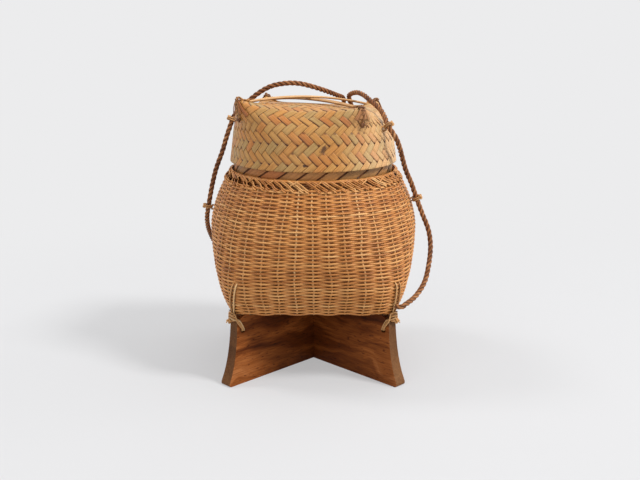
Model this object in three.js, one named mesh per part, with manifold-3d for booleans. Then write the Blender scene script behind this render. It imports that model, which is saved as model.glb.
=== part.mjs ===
// Bamboo rice basket: a double-walled basket lashed to a crossed wooden foot,
// with a lift-off lid and a twisted carrying cord.
// Millimetres. +Z is up, the front faces -Y and the floor is at Z = 0.
import * as THREE from 'three';
import { mergeVertices } from 'three/addons/utils/BufferGeometryUtils.js';
import Module from 'manifold-3d';

const wasm = await Module();
wasm.setup();

// Fits
const seatGap = 0.3; // left between pieces that touch
const slotPlay = 0.3; // each side of a board in the other board's slot
const lidPlay = 0.4; // between the lid's lining and the basket's neck
const cordPlay = 1.15; // between the cord and the loops that hold it

// Foot boards
const boardTopOverhang = 0.5; // past the basket's base corner, at the end's upper part
const boardFlare = 12.5; // how much further the end stands out at the floor
const boardWaistFlare = 2; // pulls the end in between the floor and the top
const boardWaistHeight = 22;
const boardHeight = 66.4;
const boardThickness = 12;
const boardTopThickness = 9;
const boardToeRadius = 4;
const boardCornerDrop = 10.4; // below the top edge, where the end begins to round over
const boardCrownRun = 22; // along the top edge, where it falls away to the end
const boardCrownDrop = 6;
const boardCrownEase = 8;
const boardCornerRadius = 2;
const lashHoleInset = 6.5;
const lashHoleDrop = 15.4; // below the top edge
const lashHoleRadius = 2.8;

// Basket body, outside
const baseHalfWidth = 77.5;
const bellyHalfWidth = 98;
const rimHalfWidth = 79.4;
const bellyRise = 71.3; // heights of the body are above its base
const rimRise = 122.6;
const shellDrop = 7.8; // the shell ends this far below the rim, under the braid
const lowerFullness = 1.87;
const upperFullness = 1.7;
const baseSquareness = 9; // 2 is round, and higher is squarer
const squarenessFade = 4;
const bodyWall = 3.4;
const bodyFloor = 3.4;
const baseEdgeRadius = 3;

// Basket lining and its neck
const liningWall = 1.6;
const liningFit = 0.4;
const shoulderDrop = 18.6; // below the rim, where the lining leaves the wall
const neckStartDrop = 8.1; // below the rim, where the upright neck begins
const neckStandUp = 26.7; // above the rim

// Plaited rim
const braidWidth = 6.6;
const braidHeight = 8.6;

// Lid
const lidClearRise = 6.9; // from the braid up to the lid's mouth
const lidMouthInset = 0.7; // the mouth's half width is this much less than the rim's
const lidSideTaper = 0.136;
const lidSideRise = 24;
const lidRise = 49.8;
const lidShoulderDrop = 11.6;
const lidShoulderCurve = 1.8;
const lidSquareness = 7;
const lidSquarenessGrowth = 7;
const lidWall = 1.5;
const lidLiningWall = 1.2;
const lidMouthEdge = 0.8;
const crownDome = 1; // the crown's middle stands this much over its edge
const crownSideSag = 3; // the middle of each side of the crown's edge falls by this much
const crownSagShare = 0.3; // share of the crown and of the wall that the sag takes in
const crownShift = 2.3; // the crown's middle stands this much to the left of the mouth's
const crownLean = { x: 0.03, y: 0.075 }; // the crown falls to the right and to the back
const lidTurn = THREE.MathUtils.degToRad(-10);
const earSpread = THREE.MathUtils.degToRad(14);
const earPush = 1.5;
const backEarRise = 9;
const frontLeftEarRise = 6;
const frontRightEarRise = 3.5;
const ears = [
  { place: 'back_right', angle: 45, rise: backEarRise },
  { place: 'back_left', angle: 135, rise: backEarRise },
  { place: 'front_left', angle: 225, rise: frontLeftEarRise },
  { place: 'front_right', angle: 315, rise: frontRightEarRise },
];

// Splints and ties on the lid
const splintWidth = 2.4;
const splintThickness = 1.3;
const splintSpacing = 3.8;
const splintEndShare = 0.78;
const splintLie = 0.7; // between the splints' ends and the lid's skin
const upperSplintBow = 4.8;
const splintLayerGap = 0.5;
const tieRadius = 1;
const tieLie = 0.6; // between a tie and the lid's skin
const tieDrop = 15; // how far a tie runs down its corner

// Corner stakes, lashings, loops and cord
const stakeRadius = 1.5;
const stakeTopRise = 33;
const stakeTailDrop = 4.5;
const lashRadius = 1.1;
const lashLowDrop = 2.6; // a lashing's two turns round its stake, from the basket's base
const lashHighRise = 4.6;
const cordRadius = 2.5;
const loopRadius = 0.9;
const leftShoulderLoopDrop = 40.3; // below the rim
const rightShoulderLoopDrop = 27.8;
const leftLidLoopRise = 33.5; // above the lid's mouth
const rightLidLoopRise = 34.5;

// Foot sizes that follow from the basket's base
const quarterTurn = Math.PI / 2;
const baseCornerReach = baseHalfWidth * squareStretch(quarterTurn / 2, baseSquareness);
const boardTopReach = baseCornerReach + boardTopOverhang;
const boardReach = boardTopReach + boardFlare;
const boardWaistReach = boardTopReach + boardWaistFlare;
const boardCornerHeight = boardHeight - boardCornerDrop;
const boardCrownStart = boardTopReach - boardCrownRun;
const boardCrownEnd = boardHeight - boardCrownDrop;
const lashHoleReach = boardTopReach - lashHoleInset;
const lashHoleHeight = boardHeight - lashHoleDrop;

// The lid's mouth follows from the basket's rim
const lidMouthHalfWidth = rimHalfWidth - lidMouthInset;

// Heights that follow
const baseZ = boardHeight + seatGap;
const bellyZ = baseZ + bellyRise;
const rimZ = baseZ + rimRise;
const shellTopZ = rimZ - shellDrop;
const braidMidZ = shellTopZ + seatGap + braidHeight / 2;
const lidMouthZ = braidMidZ + braidHeight / 2 + lidClearRise;
const lidShoulderZ = lidMouthZ + lidSideRise;
const crownZ = lidMouthZ + lidRise;
const neckStartZ = rimZ - neckStartDrop;
const neckTopZ = rimZ + neckStandUp;
const shoulderZ = rimZ - shoulderDrop;

const sides = 48;

// Materials
const wicker = new THREE.MeshStandardMaterial({ color: 0xb98a4e, roughness: 0.75 });
const bamboo = new THREE.MeshStandardMaterial({ color: 0xc9a266, roughness: 0.6 });
const liningBamboo = new THREE.MeshStandardMaterial({ color: 0xb39463, roughness: 0.65 });
const rattan = new THREE.MeshStandardMaterial({ color: 0xc49a5c, roughness: 0.6 });
const darkTie = new THREE.MeshStandardMaterial({ color: 0x6b4a2c, roughness: 0.7 });
const footWood = new THREE.MeshStandardMaterial({ color: 0x7a4526, roughness: 0.55 });
const twistedCord = new THREE.MeshStandardMaterial({ color: 0x6e4a33, roughness: 0.8 });

function named(name, geometry, material) {
  const mesh = new THREE.Mesh(geometry, material);
  mesh.name = name;
  return mesh;
}

function steps(from, to, count) {
  return Array.from({ length: count + 1 }, (_, i) => from + ((to - from) * i) / count);
}

// Solid cuts
function solidOf(geometry) {
  const bare = geometry.clone();
  bare.deleteAttribute('normal');
  bare.deleteAttribute('uv');
  const merged = mergeVertices(bare, 1e-4);
  return new wasm.Manifold(
    new wasm.Mesh({
      numProp: 3,
      vertProperties: merged.attributes.position.array,
      triVerts: new Uint32Array(merged.index.array),
    }),
  );
}

function geometryOf(solid) {
  const mesh = solid.getMesh();
  const geometry = new THREE.BufferGeometry();
  geometry.setAttribute('position', new THREE.BufferAttribute(mesh.vertProperties, 3));
  geometry.setIndex(new THREE.BufferAttribute(mesh.triVerts, 1));
  geometry.computeVertexNormals();
  return geometry;
}

// Foot: two boards halved together on the diagonals
function boardOutline() {
  const outline = new THREE.Shape();
  outline.moveTo(-boardReach + boardToeRadius, 0);
  outline.lineTo(boardReach - boardToeRadius, 0);
  outline.quadraticCurveTo(boardReach, 0, boardReach - boardToeRadius / 3, boardToeRadius);
  outline.quadraticCurveTo(boardWaistReach, boardWaistHeight, boardTopReach, boardCornerHeight);
  outline.quadraticCurveTo(
    boardTopReach, boardCrownEnd, boardTopReach - boardCornerRadius, boardCrownEnd);
  outline.quadraticCurveTo(
    boardTopReach - boardCrownEase, boardHeight, boardCrownStart, boardHeight);
  outline.lineTo(-boardCrownStart, boardHeight);
  outline.quadraticCurveTo(
    -boardTopReach + boardCrownEase, boardHeight,
    -boardTopReach + boardCornerRadius, boardCrownEnd);
  outline.quadraticCurveTo(
    -boardTopReach, boardCrownEnd, -boardTopReach, boardCornerHeight);
  outline.quadraticCurveTo(
    -boardWaistReach, boardWaistHeight, -boardReach + boardToeRadius / 3, boardToeRadius);
  outline.quadraticCurveTo(-boardReach, 0, -boardReach + boardToeRadius, 0);
  return outline;
}

function boardHalfThickness(z) {
  return THREE.MathUtils.lerp(boardThickness, boardTopThickness, z / boardHeight) / 2;
}

// Narrows a slab of the bottom thickness towards the top, as the boards are planed.
function taperAcross(geometry, axis, extra) {
  const position = geometry.attributes.position;
  const across = new THREE.Vector3();
  for (let i = 0; i < position.count; i += 1) {
    across.fromBufferAttribute(position, i);
    across[axis] = Math.sign(across[axis]) * (boardHalfThickness(across.z) + extra);
    position.setXYZ(i, across.x, across.y, across.z);
  }
  return geometry;
}

function slotCutter(lowZ, highZ) {
  const slot = new THREE.BoxGeometry(boardThickness, boardThickness * 3, highZ - lowZ);
  slot.translate(0, 0, (lowZ + highZ) / 2);
  return taperAcross(slot, 'x', slotPlay);
}

function lashHole(reach) {
  const hole = new THREE.CylinderGeometry(
    lashHoleRadius, lashHoleRadius, boardThickness * 2, 12);
  return hole.translate(reach, 0, lashHoleHeight);
}

function footBoard(slotLowZ, slotHighZ) {
  const slab = new THREE.ExtrudeGeometry(boardOutline(), {
    depth: boardThickness, bevelEnabled: false, curveSegments: 6,
  });
  slab.translate(0, 0, -boardThickness / 2);
  slab.rotateX(quarterTurn);
  taperAcross(slab, 'y', 0);
  const cuts = [slotCutter(slotLowZ, slotHighZ), lashHole(lashHoleReach), lashHole(-lashHoleReach)];
  return geometryOf(cuts.reduce((board, cut) => board.subtract(solidOf(cut)), solidOf(slab)));
}

function foot() {
  const group = new THREE.Group();
  const halfway = boardHeight / 2;
  const past = boardHeight * 0.1;
  const lower = named(
    'foot_board_lower', footBoard(halfway - seatGap / 2, boardHeight + past), footWood);
  const upper = named('foot_board_upper', footBoard(-past, halfway + seatGap / 2), footWood);
  lower.rotation.z = quarterTurn / 2;
  upper.rotation.z = -quarterTurn / 2;
  group.add(lower, upper);
  return group;
}

// Squared sections: a superellipse is round at squareness 2
function squareStretch(angle, squareness) {
  const sum = Math.abs(Math.cos(angle)) ** squareness + Math.abs(Math.sin(angle)) ** squareness;
  return sum ** (-1 / squareness);
}

// Splits each face of the walls that face in along the diagonal that the walls facing out
// use, so that the gap between one piece and the next stays even.
function matchFaceSplits(geometry, points) {
  const index = geometry.index.array;
  for (let face = 0; face < index.length; face += 6) {
    const row = (face / 6) % (points.length - 1);
    if (points[row + 1].y < points[row].y) {
      const [a, b, d, c] = index.slice(face, face + 4);
      index.set([a, b, c, c, d, a], face);
    }
  }
}

// Turns a profile of [half width, height] points, then moves each vertex to place(angle, a, z).
function squaredLathe(profile, place) {
  const points = profile.map(([halfWidth, z]) => new THREE.Vector2(halfWidth, z));
  const geometry = new THREE.LatheGeometry(points, sides);
  matchFaceSplits(geometry, points);
  geometry.rotateX(quarterTurn);
  const position = geometry.attributes.position;
  for (let i = 0; i < position.count; i += 1) {
    const x = position.getX(i);
    const y = position.getY(i);
    const moved = place(Math.atan2(y, x), Math.hypot(x, y), position.getZ(i));
    position.setXYZ(i, moved.x, moved.y, moved.z);
  }
  geometry.computeVertexNormals();
  return geometry;
}

// Basket body
function bodyHalfWidth(z) {
  const below = Math.max(0, (bellyZ - z) / bellyRise);
  const above = Math.max(0, (z - bellyZ) / (rimZ - bellyZ));
  return bellyHalfWidth
    - (bellyHalfWidth - baseHalfWidth) * below ** lowerFullness
    - (bellyHalfWidth - rimHalfWidth) * above ** upperFullness;
}

function bodySquareness(z) {
  const share = THREE.MathUtils.clamp((z - baseZ) / rimRise, 0, 1);
  return 2 + (baseSquareness - 2) * (1 - share) ** squarenessFade;
}

function bodyReach(angle, z, offset) {
  return (bodyHalfWidth(z) + offset) * squareStretch(angle, bodySquareness(z));
}

function bodyPlace(angle, halfWidth, z) {
  const reach = halfWidth * squareStretch(angle, bodySquareness(z));
  return new THREE.Vector3(Math.cos(angle) * reach, Math.sin(angle) * reach, z);
}

// Points [half width, height] of a wall surface at an inset, from its floor's edge up. All
// the wall surfaces share their levels, so the gap between two pieces stays even.
function bodyWallPoints(inset, floorZ) {
  const levels = [floorZ + baseEdgeRadius, ...steps(baseZ + baseEdgeRadius * 3, shoulderZ, 9)];
  return levels.map((z) => [bodyHalfWidth(z) - inset, z]);
}

function baseCorner(inset, floorZ) {
  const floorEdge = bodyHalfWidth(floorZ + baseEdgeRadius) - inset;
  const slack = baseEdgeRadius * (1 - Math.SQRT1_2);
  return [
    [0, floorZ],
    [floorEdge - baseEdgeRadius, floorZ],
    [floorEdge - slack, floorZ + slack],
  ];
}

function outerBasket() {
  const insideFloorZ = baseZ + bodyFloor;
  const profile = [
    ...baseCorner(0, baseZ),
    ...bodyWallPoints(0, baseZ),
    [bodyHalfWidth(shellTopZ), shellTopZ],
    [bodyHalfWidth(shellTopZ) - bodyWall, shellTopZ],
    ...bodyWallPoints(bodyWall, insideFloorZ).reverse(),
    ...baseCorner(bodyWall, insideFloorZ).reverse(),
  ];
  return named('outer_basket', squaredLathe(profile, bodyPlace), wicker);
}

// Lid sections, used by the neck below it as well
function lidHalfWidth(z) {
  const up = Math.max(0, z - lidMouthZ);
  const shoulder = Math.max(0, (z - lidShoulderZ) / (crownZ - lidShoulderZ));
  return lidMouthHalfWidth - lidSideTaper * up - lidShoulderDrop * shoulder ** lidShoulderCurve;
}

const lidThickness = lidWall + seatGap + lidLiningWall;

function neckHalfWidth(z) {
  return lidHalfWidth(z + lidThickness) - lidThickness - lidPlay;
}

const neckReach = neckHalfWidth(lidMouthZ);

function innerBasket() {
  const inset = bodyWall + liningFit;
  const floorZ = baseZ + bodyFloor + seatGap;
  const neckPoints = (depth) => [
    [neckReach - depth, neckStartZ],
    ...steps(lidMouthZ, neckTopZ, 3).map((z) => [neckHalfWidth(z) - depth, z]),
  ];
  const profile = [
    ...baseCorner(inset, floorZ),
    ...bodyWallPoints(inset, floorZ),
    ...neckPoints(0),
    ...neckPoints(liningWall).reverse(),
    ...bodyWallPoints(inset + liningWall, floorZ + liningWall).reverse(),
    ...baseCorner(inset + liningWall, floorZ + liningWall).reverse(),
  ];
  return named('inner_basket', squaredLathe(profile, bodyPlace), liningBamboo);
}

function rimBraid() {
  const reach = neckReach + liningFit + braidWidth / 2;
  const ring = new THREE.TorusGeometry(reach, braidWidth / 2, 10, sides);
  ring.scale(1, 1, braidHeight / braidWidth);
  ring.translate(0, 0, braidMidZ);
  return named('rim_braid', ring, rattan);
}

// Lid
function smooth(share) {
  const t = THREE.MathUtils.clamp(share, 0, 1);
  return t * t * (3 - 2 * t);
}

function turnBetween(a, b) {
  const turn = Math.abs(a - b) % (2 * Math.PI);
  return Math.min(turn, 2 * Math.PI - turn);
}

// How far an ear lifts the skin: at its corner only, and only about the crown's edge
function earLift(angle, share, edgeShare) {
  return ears.reduce((lift, ear) => {
    const turn = turnBetween(angle, THREE.MathUtils.degToRad(ear.angle));
    const near = Math.max(0, 1 - turn / earSpread);
    return lift + ear.rise * near ** 2 * smooth((share - 0.7) / 0.3) * edgeShare ** 6;
  }, 0);
}

// How far the skin rounds off between two ears: only about the crown's edge
function sideSag(angle, share, edgeShare) {
  const onWall = smooth(1 - (1 - share) / crownSagShare);
  const onCrown = smooth(1 - (1 - edgeShare) / crownSagShare);
  return crownSideSag * Math.cos(2 * angle) ** 2 * onWall * onCrown;
}

function lidPlace(angle, halfWidth, z) {
  const share = THREE.MathUtils.clamp((z - lidMouthZ) / lidRise, 0, 1);
  const edgeShare = Math.min(1, halfWidth / lidHalfWidth(crownZ));
  const squareness = 2 + (lidSquareness - 2) * share ** lidSquarenessGrowth;
  const lift = earLift(angle, share, edgeShare);
  const sag = sideSag(angle, share, edgeShare);
  const reach = halfWidth * squareStretch(angle, squareness) + earPush * Math.min(1, lift);
  const x = Math.cos(angle) * reach;
  const y = Math.sin(angle) * reach;
  const lean = (crownLean.x * x + crownLean.y * y) * share ** 2;
  const shoulder = smooth((z - lidShoulderZ) / (crownZ - lidShoulderZ));
  return new THREE.Vector3(x - crownShift * shoulder, y, z + lift - sag - lean);
}

function lidSidePoints(inset, fromZ) {
  const side = steps(fromZ, lidShoulderZ, 3);
  const shoulder = steps(lidShoulderZ, crownZ, 9).slice(1);
  return [...side, ...shoulder].map((z) => [lidHalfWidth(z) - inset, z - inset]);
}

function lidCrownPoints(inset) {
  const edge = lidHalfWidth(crownZ) - inset;
  return [0.93, 0.83, 0.72, 0.4, 0].map((share) => [
    edge * share, crownZ - inset + crownDome * (1 - share ** 2),
  ]);
}

function lidSkin(name, material, inset, wall) {
  const mouth = lidHalfWidth(lidMouthZ);
  const skinPoints = (depth) => [
    [mouth - depth, lidMouthZ],
    ...lidSidePoints(depth, lidMouthZ + depth + lidMouthEdge),
    ...lidCrownPoints(depth),
  ];
  const profile = [...skinPoints(inset + wall).reverse(), ...skinPoints(inset)];
  return named(name, squaredLathe(profile, lidPlace), material);
}

// A rod of round or flat section along a smooth curve
function circle(radius, sides) {
  return new THREE.Shape(steps(0, 2 * Math.PI, sides).slice(0, -1).map(
    (turn) => new THREE.Vector2(radius * Math.cos(turn), radius * Math.sin(turn))));
}

function swept(points, section, count) {
  const curve = new THREE.CatmullRomCurve3(points, false, 'centripetal');
  return new THREE.ExtrudeGeometry(section, {
    steps: count, bevelEnabled: false, extrudePath: curve,
  });
}

// A tie runs over its ear and down the ridge of the corner, lying on the skin.
function cornerTie(ear) {
  const angle = THREE.MathUtils.degToRad(ear.angle);
  const edge = lidHalfWidth(crownZ);
  const line = [
    ...[0.86, 0.94, 1].map((share) => lidPlace(
      angle, edge * share, crownZ + crownDome * (1 - share ** 2))),
    ...[0.2, 0.45, 0.73, 1].map((share) => lidPlace(
      angle, lidHalfWidth(crownZ - tieDrop * share), crownZ - tieDrop * share)),
  ];
  const out = new THREE.Vector3(Math.cos(angle), Math.sin(angle), 0);
  const lay = tieRadius + tieLie;
  const raised = line.map((point, i) => {
    const before = line[Math.max(0, i - 1)];
    const after = line[Math.min(line.length - 1, i + 1)];
    const along = after.clone().sub(before).normalize();
    const normal = new THREE.Vector3(-along.z * out.x, -along.z * out.y, along.dot(out));
    return point.clone().addScaledVector(normal.normalize(), lay);
  });
  return named(`lid_tie_${ear.place}`, swept(raised, circle(tieRadius, 6), 14), darkTie);
}

// Two pairs of splints bow across the crown from ear to ear.
function splintPair(first, second, bow, label) {
  const section = new THREE.Shape([
    new THREE.Vector2(-splintThickness / 2, -splintWidth / 2),
    new THREE.Vector2(splintThickness / 2, -splintWidth / 2),
    new THREE.Vector2(splintThickness / 2, splintWidth / 2),
    new THREE.Vector2(-splintThickness / 2, splintWidth / 2),
  ]);
  const [start, end] = [first, second].map((ear) => {
    const halfWidth = lidHalfWidth(crownZ) * splintEndShare;
    const dome = crownDome * (1 - splintEndShare ** 2);
    return lidPlace(THREE.MathUtils.degToRad(ear.angle), halfWidth, crownZ + dome);
  });
  const along = end.clone().sub(start).setZ(0).normalize();
  const sideways = new THREE.Vector3(-along.y, along.x, 0);
  const lie = splintLie + splintThickness / 2;
  return [-1, 1].map((side) => {
    const points = steps(0, 1, 8).map((share) => start.clone().lerp(end, share)
      .addScaledVector(sideways, (side * splintSpacing) / 2)
      .add(new THREE.Vector3(0, 0, lie + bow * 4 * share * (1 - share))));
    const name = `lid_splint_${label}_${side < 0 ? 'a' : 'b'}`;
    return named(name, swept(points, section, 12), rattan);
  });
}

// Loops of cane hold the cord off the wall that they are tied to.
const loopMidRadius = cordRadius + cordPlay + loopRadius;
const loopSeats = {
  shoulder_loop_left: { angle: 175.5, z: rimZ - leftShoulderLoopDrop },
  shoulder_loop_right: { angle: -10.3, z: rimZ - rightShoulderLoopDrop },
  lid_loop_left: { angle: 170, z: lidMouthZ + leftLidLoopRise, onLid: true },
  lid_loop_right: { angle: -30, z: lidMouthZ + rightLidLoopRise, onLid: true },
};

function skinPoint(seat, z) {
  const angle = THREE.MathUtils.degToRad(seat.angle);
  if (!seat.onLid) return bodyPlace(angle, bodyHalfWidth(z), z);
  const onSkin = lidPlace(angle - lidTurn, lidHalfWidth(z), z);
  return onSkin.applyAxisAngle(new THREE.Vector3(0, 0, 1), lidTurn);
}

// The cord's centre in a loop lies straight out from the skin at the loop's seat.
function loopCentre(seat) {
  const point = skinPoint(seat, seat.z);
  const upSkin = skinPoint(seat, seat.z + 1).sub(skinPoint(seat, seat.z - 1)).normalize();
  const out = new THREE.Vector3(point.x, point.y, 0).normalize();
  out.addScaledVector(upSkin, -out.dot(upSkin)).normalize();
  return point.addScaledVector(out, seatGap + loopRadius + loopMidRadius);
}

const loopCentres = Object.fromEntries(
  Object.entries(loopSeats).map(([name, seat]) => [name, loopCentre(seat)]));

function cordLoop(name) {
  const route = Object.values(cordRoutes).find((points) => points.includes(loopCentres[name]));
  const index = route.indexOf(loopCentres[name]);
  const [before, after] = [route[index - 1], route[index + 1]].map(routePoint);
  const mesh = named(name, new THREE.TorusGeometry(loopMidRadius, loopRadius, 6, 14), rattan);
  mesh.quaternion.setFromUnitVectors(
    new THREE.Vector3(0, 0, 1), after.sub(before).normalize());
  mesh.position.copy(loopCentres[name]);
  return mesh;
}

// Corner stakes stand on the basket's corners, and lashings tie them to the boards.
function cornerFrame(index) {
  const group = new THREE.Group();
  group.rotation.z = quarterTurn / 2 + index * quarterTurn;
  return group;
}

function stakeReach(z) {
  const corner = bodyReach(quarterTurn / 2, Math.max(z, baseZ), 0);
  return corner + stakeRadius + seatGap;
}

function cornerStake(place) {
  const points = steps(baseZ - stakeTailDrop, baseZ + stakeTopRise, 7).map(
    (z) => new THREE.Vector3(stakeReach(z), 0, z));
  return named(`corner_stake_${place}`, swept(points, circle(stakeRadius, 6), 8), rattan);
}

function footLashing(place) {
  const r = lashRadius;
  const besideHole = boardHalfThickness(lashHoleHeight) + seatGap + r * 1.1;
  const turnDepth = boardHalfThickness(lashHoleHeight) - seatGap;
  const lowZ = lashHoleHeight - lashHoleRadius * 0.3;
  const besideStake = stakeRadius + r;
  const roundStake = (z) => stakeReach(z) + stakeRadius + seatGap + r * 1.1;
  const firstZ = baseZ - lashLowDrop;
  const secondZ = baseZ + lashHighRise;
  const oneFace = (side) => [
    new THREE.Vector3(
      lashHoleReach + r * 3.2, side * (besideHole + r * 0.1), lashHoleHeight + r * 5.4),
    new THREE.Vector3(
      lashHoleReach + r * 0.4, side * (besideHole + r * 0.2), lashHoleHeight + r * 1.5),
    new THREE.Vector3(lashHoleReach, side * turnDepth, lowZ),
  ];
  const points = [
    new THREE.Vector3(roundStake(firstZ) - r, -besideStake, firstZ - r * 0.5),
    new THREE.Vector3(roundStake(firstZ), 0, firstZ),
    new THREE.Vector3(roundStake(firstZ) - r, besideStake, firstZ - r * 0.5),
    new THREE.Vector3(boardTopReach + r * 0.5, besideHole - r * 0.9, boardCrownEnd + r * 0.9),
    ...oneFace(1),
    new THREE.Vector3(lashHoleReach, 0, lowZ - r * 0.2),
    ...oneFace(-1).reverse(),
    new THREE.Vector3(boardTopReach + r * 0.4, r * 0.3 - besideHole, boardCrownEnd + r * 2.4),
    new THREE.Vector3(roundStake(baseZ) - r * 1.5, -besideStake * 1.9, baseZ + r * 0.8),
    new THREE.Vector3(roundStake(secondZ) - r * 1.3, -besideStake * 1.2, secondZ - r * 0.8),
    new THREE.Vector3(roundStake(secondZ), 0, secondZ),
    new THREE.Vector3(roundStake(secondZ) - r * 1.3, besideStake * 1.2, secondZ - r * 0.8),
  ];
  return named(`foot_lashing_${place}`, swept(points, circle(lashRadius, 5), 30), rattan);
}

// One long cord is tied to the back left and front right corners. It runs up through
// the loops on both sides and over the lid, and its slack hangs behind the basket.
const cordRoutes = {
  cord_side_left: [
    [-80.0, 79.5, 79], [-88, 76, 84], [-96.5, 68, 91], [-102.5, 56, 102], [-105, 40, 115],
    [-105.5, 24, 128], [-104.3, 13, 140], loopCentres.shoulder_loop_left, [-98.2, 9.2, 170],
    [-94, 10, 186], [-87.2, 11, 204.4],
  ],
  cord_over_lid: [
    [-86.9, 11.1, 205.2], [-84.2, 11.8, 214], [-80.8, 12.7, 224], loopCentres.lid_loop_left,
    [-72.3, 13.5, 242], [-66.3, 13.3, 247.3], [-60, 13.1, 252.4], [-53, 12.8, 257.8],
    [-44.8, 12, 262.9], [-38, 11.4, 265.7], [-29, 10.7, 267.5], [-20.6, 10.6, 268.1],
    [-11, 12, 267.1], [-1.6, 15.6, 264.6], [8.3, 21.5, 261.1], [16.3, 30, 257.6],
    [23.4, 40, 254.1], [28.5, 51, 251.2], [29.8, 59.5, 247.8], [30.2, 66, 242],
    [30.6, 71.5, 235], [31, 76.5, 225], [30.5, 80.5, 212], [30, 83, 199], [29, 85, 188],
    [28, 88, 174], [27.5, 92.8, 160], [28, 97.2, 147], [31.5, 99, 136], [41.5, 96.8, 130.5],
    [51.5, 91.8, 136], [55, 88, 147], [54.5, 82.8, 160], [53, 78.3, 174], [51, 75.8, 188],
    [49, 75, 199], [46.5, 74.5, 212], [44, 72.5, 225], [40.8, 69.5, 235.5],
    [37.4, 66, 243.5], [35.6, 61, 249], [35.2, 54.5, 252.4], [36.6, 47, 254.8],
    [39.2, 39, 256.6], [43, 29.5, 257.6], [48, 18.5, 256.2], [53, 6, 252.8],
    [58.4, -7, 249], [62.4, -18.5, 245.2], [65, -29.5, 240.4],
    loopCentres.lid_loop_right, [74.5, -43, 223], [78.4, -38.2, 213.5], [81.1, -31.8, 205.4],
  ],
  cord_side_right: [
    [81.4, -31, 204.1], [85.6, -26.5, 191], [91.5, -21, 178],
    loopCentres.shoulder_loop_right, [102.9, -18.5, 148], [108.5, -22, 134],
    [110.4, -27, 120.5], [107.7, -40, 104.2], [102.6, -52, 90.5], [93, -65, 81],
    [80.2, -79.3, 76],
  ],
};

function routePoint(point) {
  return point.isVector3 ? point.clone() : new THREE.Vector3(...point);
}

function cord(name) {
  const points = cordRoutes[name].map(routePoint);
  const length = new THREE.CatmullRomCurve3(points, false, 'centripetal').getLength();
  const count = Math.ceil(length / (cordRadius * 5));
  return named(name, swept(points, circle(cordRadius, 8), count), twistedCord);
}

// Assembly
const basket = new THREE.Group();
basket.add(foot(), outerBasket(), innerBasket(), rimBraid());

ears.forEach(({ place }, index) => {
  const corner = cornerFrame(index);
  corner.add(cornerStake(place), footLashing(place));
  basket.add(corner);
});

const lid = new THREE.Group();
lid.rotation.z = lidTurn;
lid.add(
  lidSkin('lid_shell', bamboo, 0, lidWall),
  lidSkin('lid_lining', liningBamboo, lidWall + seatGap, lidLiningWall),
  ...ears.map(cornerTie),
  ...splintPair(ears[2], ears[0], upperSplintBow, 'upper'),
  ...splintPair(
    ears[1], ears[3], upperSplintBow - splintThickness - splintLayerGap, 'lower'),
);

basket.add(
  lid, ...Object.keys(loopSeats).map(cordLoop), ...Object.keys(cordRoutes).map(cord));

export default basket;
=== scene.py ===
import math

import bmesh
import bpy
import numpy as np
from mathutils import Euler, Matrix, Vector


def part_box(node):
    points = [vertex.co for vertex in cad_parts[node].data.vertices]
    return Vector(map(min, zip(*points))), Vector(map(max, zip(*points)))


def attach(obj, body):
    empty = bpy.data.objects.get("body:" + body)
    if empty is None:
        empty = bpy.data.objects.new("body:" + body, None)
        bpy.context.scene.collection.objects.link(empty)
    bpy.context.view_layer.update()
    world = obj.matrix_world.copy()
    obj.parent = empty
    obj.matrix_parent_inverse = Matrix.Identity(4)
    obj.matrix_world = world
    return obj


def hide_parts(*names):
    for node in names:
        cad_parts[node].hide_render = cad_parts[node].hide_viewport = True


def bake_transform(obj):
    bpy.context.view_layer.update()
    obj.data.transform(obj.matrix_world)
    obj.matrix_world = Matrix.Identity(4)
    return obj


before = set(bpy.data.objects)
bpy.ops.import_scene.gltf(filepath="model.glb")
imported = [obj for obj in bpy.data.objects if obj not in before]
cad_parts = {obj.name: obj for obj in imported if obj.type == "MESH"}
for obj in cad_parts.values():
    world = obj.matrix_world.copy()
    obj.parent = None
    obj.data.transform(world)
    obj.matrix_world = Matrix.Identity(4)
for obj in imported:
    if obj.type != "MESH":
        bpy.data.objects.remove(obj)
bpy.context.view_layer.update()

MM = 0.001
TURN = 2 * np.pi
QUARTER = np.pi / 2
UP = np.array([0.0, 0, 1])
LEVEL = np.array([1.0, 1, 0])
scene = bpy.context.scene
random = np.random.default_rng(11)

# Sizes in metres and the shape's exponents and shares, as the solids have them
BODY_BASE_Z, BODY_TOP_Z = (corner.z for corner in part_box("outer_basket"))
BODY_BELLY_Z = BODY_BASE_Z + 71.3 * MM
BODY_RIM_Z = BODY_BASE_Z + 122.6 * MM
BODY_BASE = 77.5 * MM
BODY_BELLY = 98 * MM
BODY_RIM = 79.4 * MM
LOWER_FULLNESS = 1.87
UPPER_FULLNESS = 1.7
BASE_SQUARENESS = 9  # 2 is round, and higher is squarer
SQUARENESS_FADE = 4
LINING_INSET = 3.8 * MM
SHOULDER_Z = BODY_RIM_Z - 18.6 * MM
NECK_START_Z = BODY_RIM_Z - 8.1 * MM
NECK_TOP_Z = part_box("inner_basket")[1].z
LID_MOUTH_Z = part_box("lid_shell")[0].z
LID_MOUTH = 78.7 * MM
LID_RISE = 49.8 * MM
LID_SHOULDER_Z = LID_MOUTH_Z + 24 * MM
LID_CROWN_Z = LID_MOUTH_Z + LID_RISE
LID_SIDE_TAPER = 0.136
LID_SHOULDER_DROP = 11.6 * MM
LID_SHOULDER_CURVE = 1.8
LID_SQUARENESS = 7
LID_THICKNESS = 3.0 * MM
LID_PLAY = 0.4 * MM
LID_TURN = math.radians(-10)
CROWN_SHIFT = 2.3 * MM
CROWN_SIDE_SAG = 3.0 * MM
CROWN_SAG_SHARE = 0.3
CROWN_LEAN_X = 0.03
CROWN_LEAN_Y = 0.075
EAR_SPREAD = math.radians(14)
EAR_PUSH = 1.5 * MM

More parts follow.
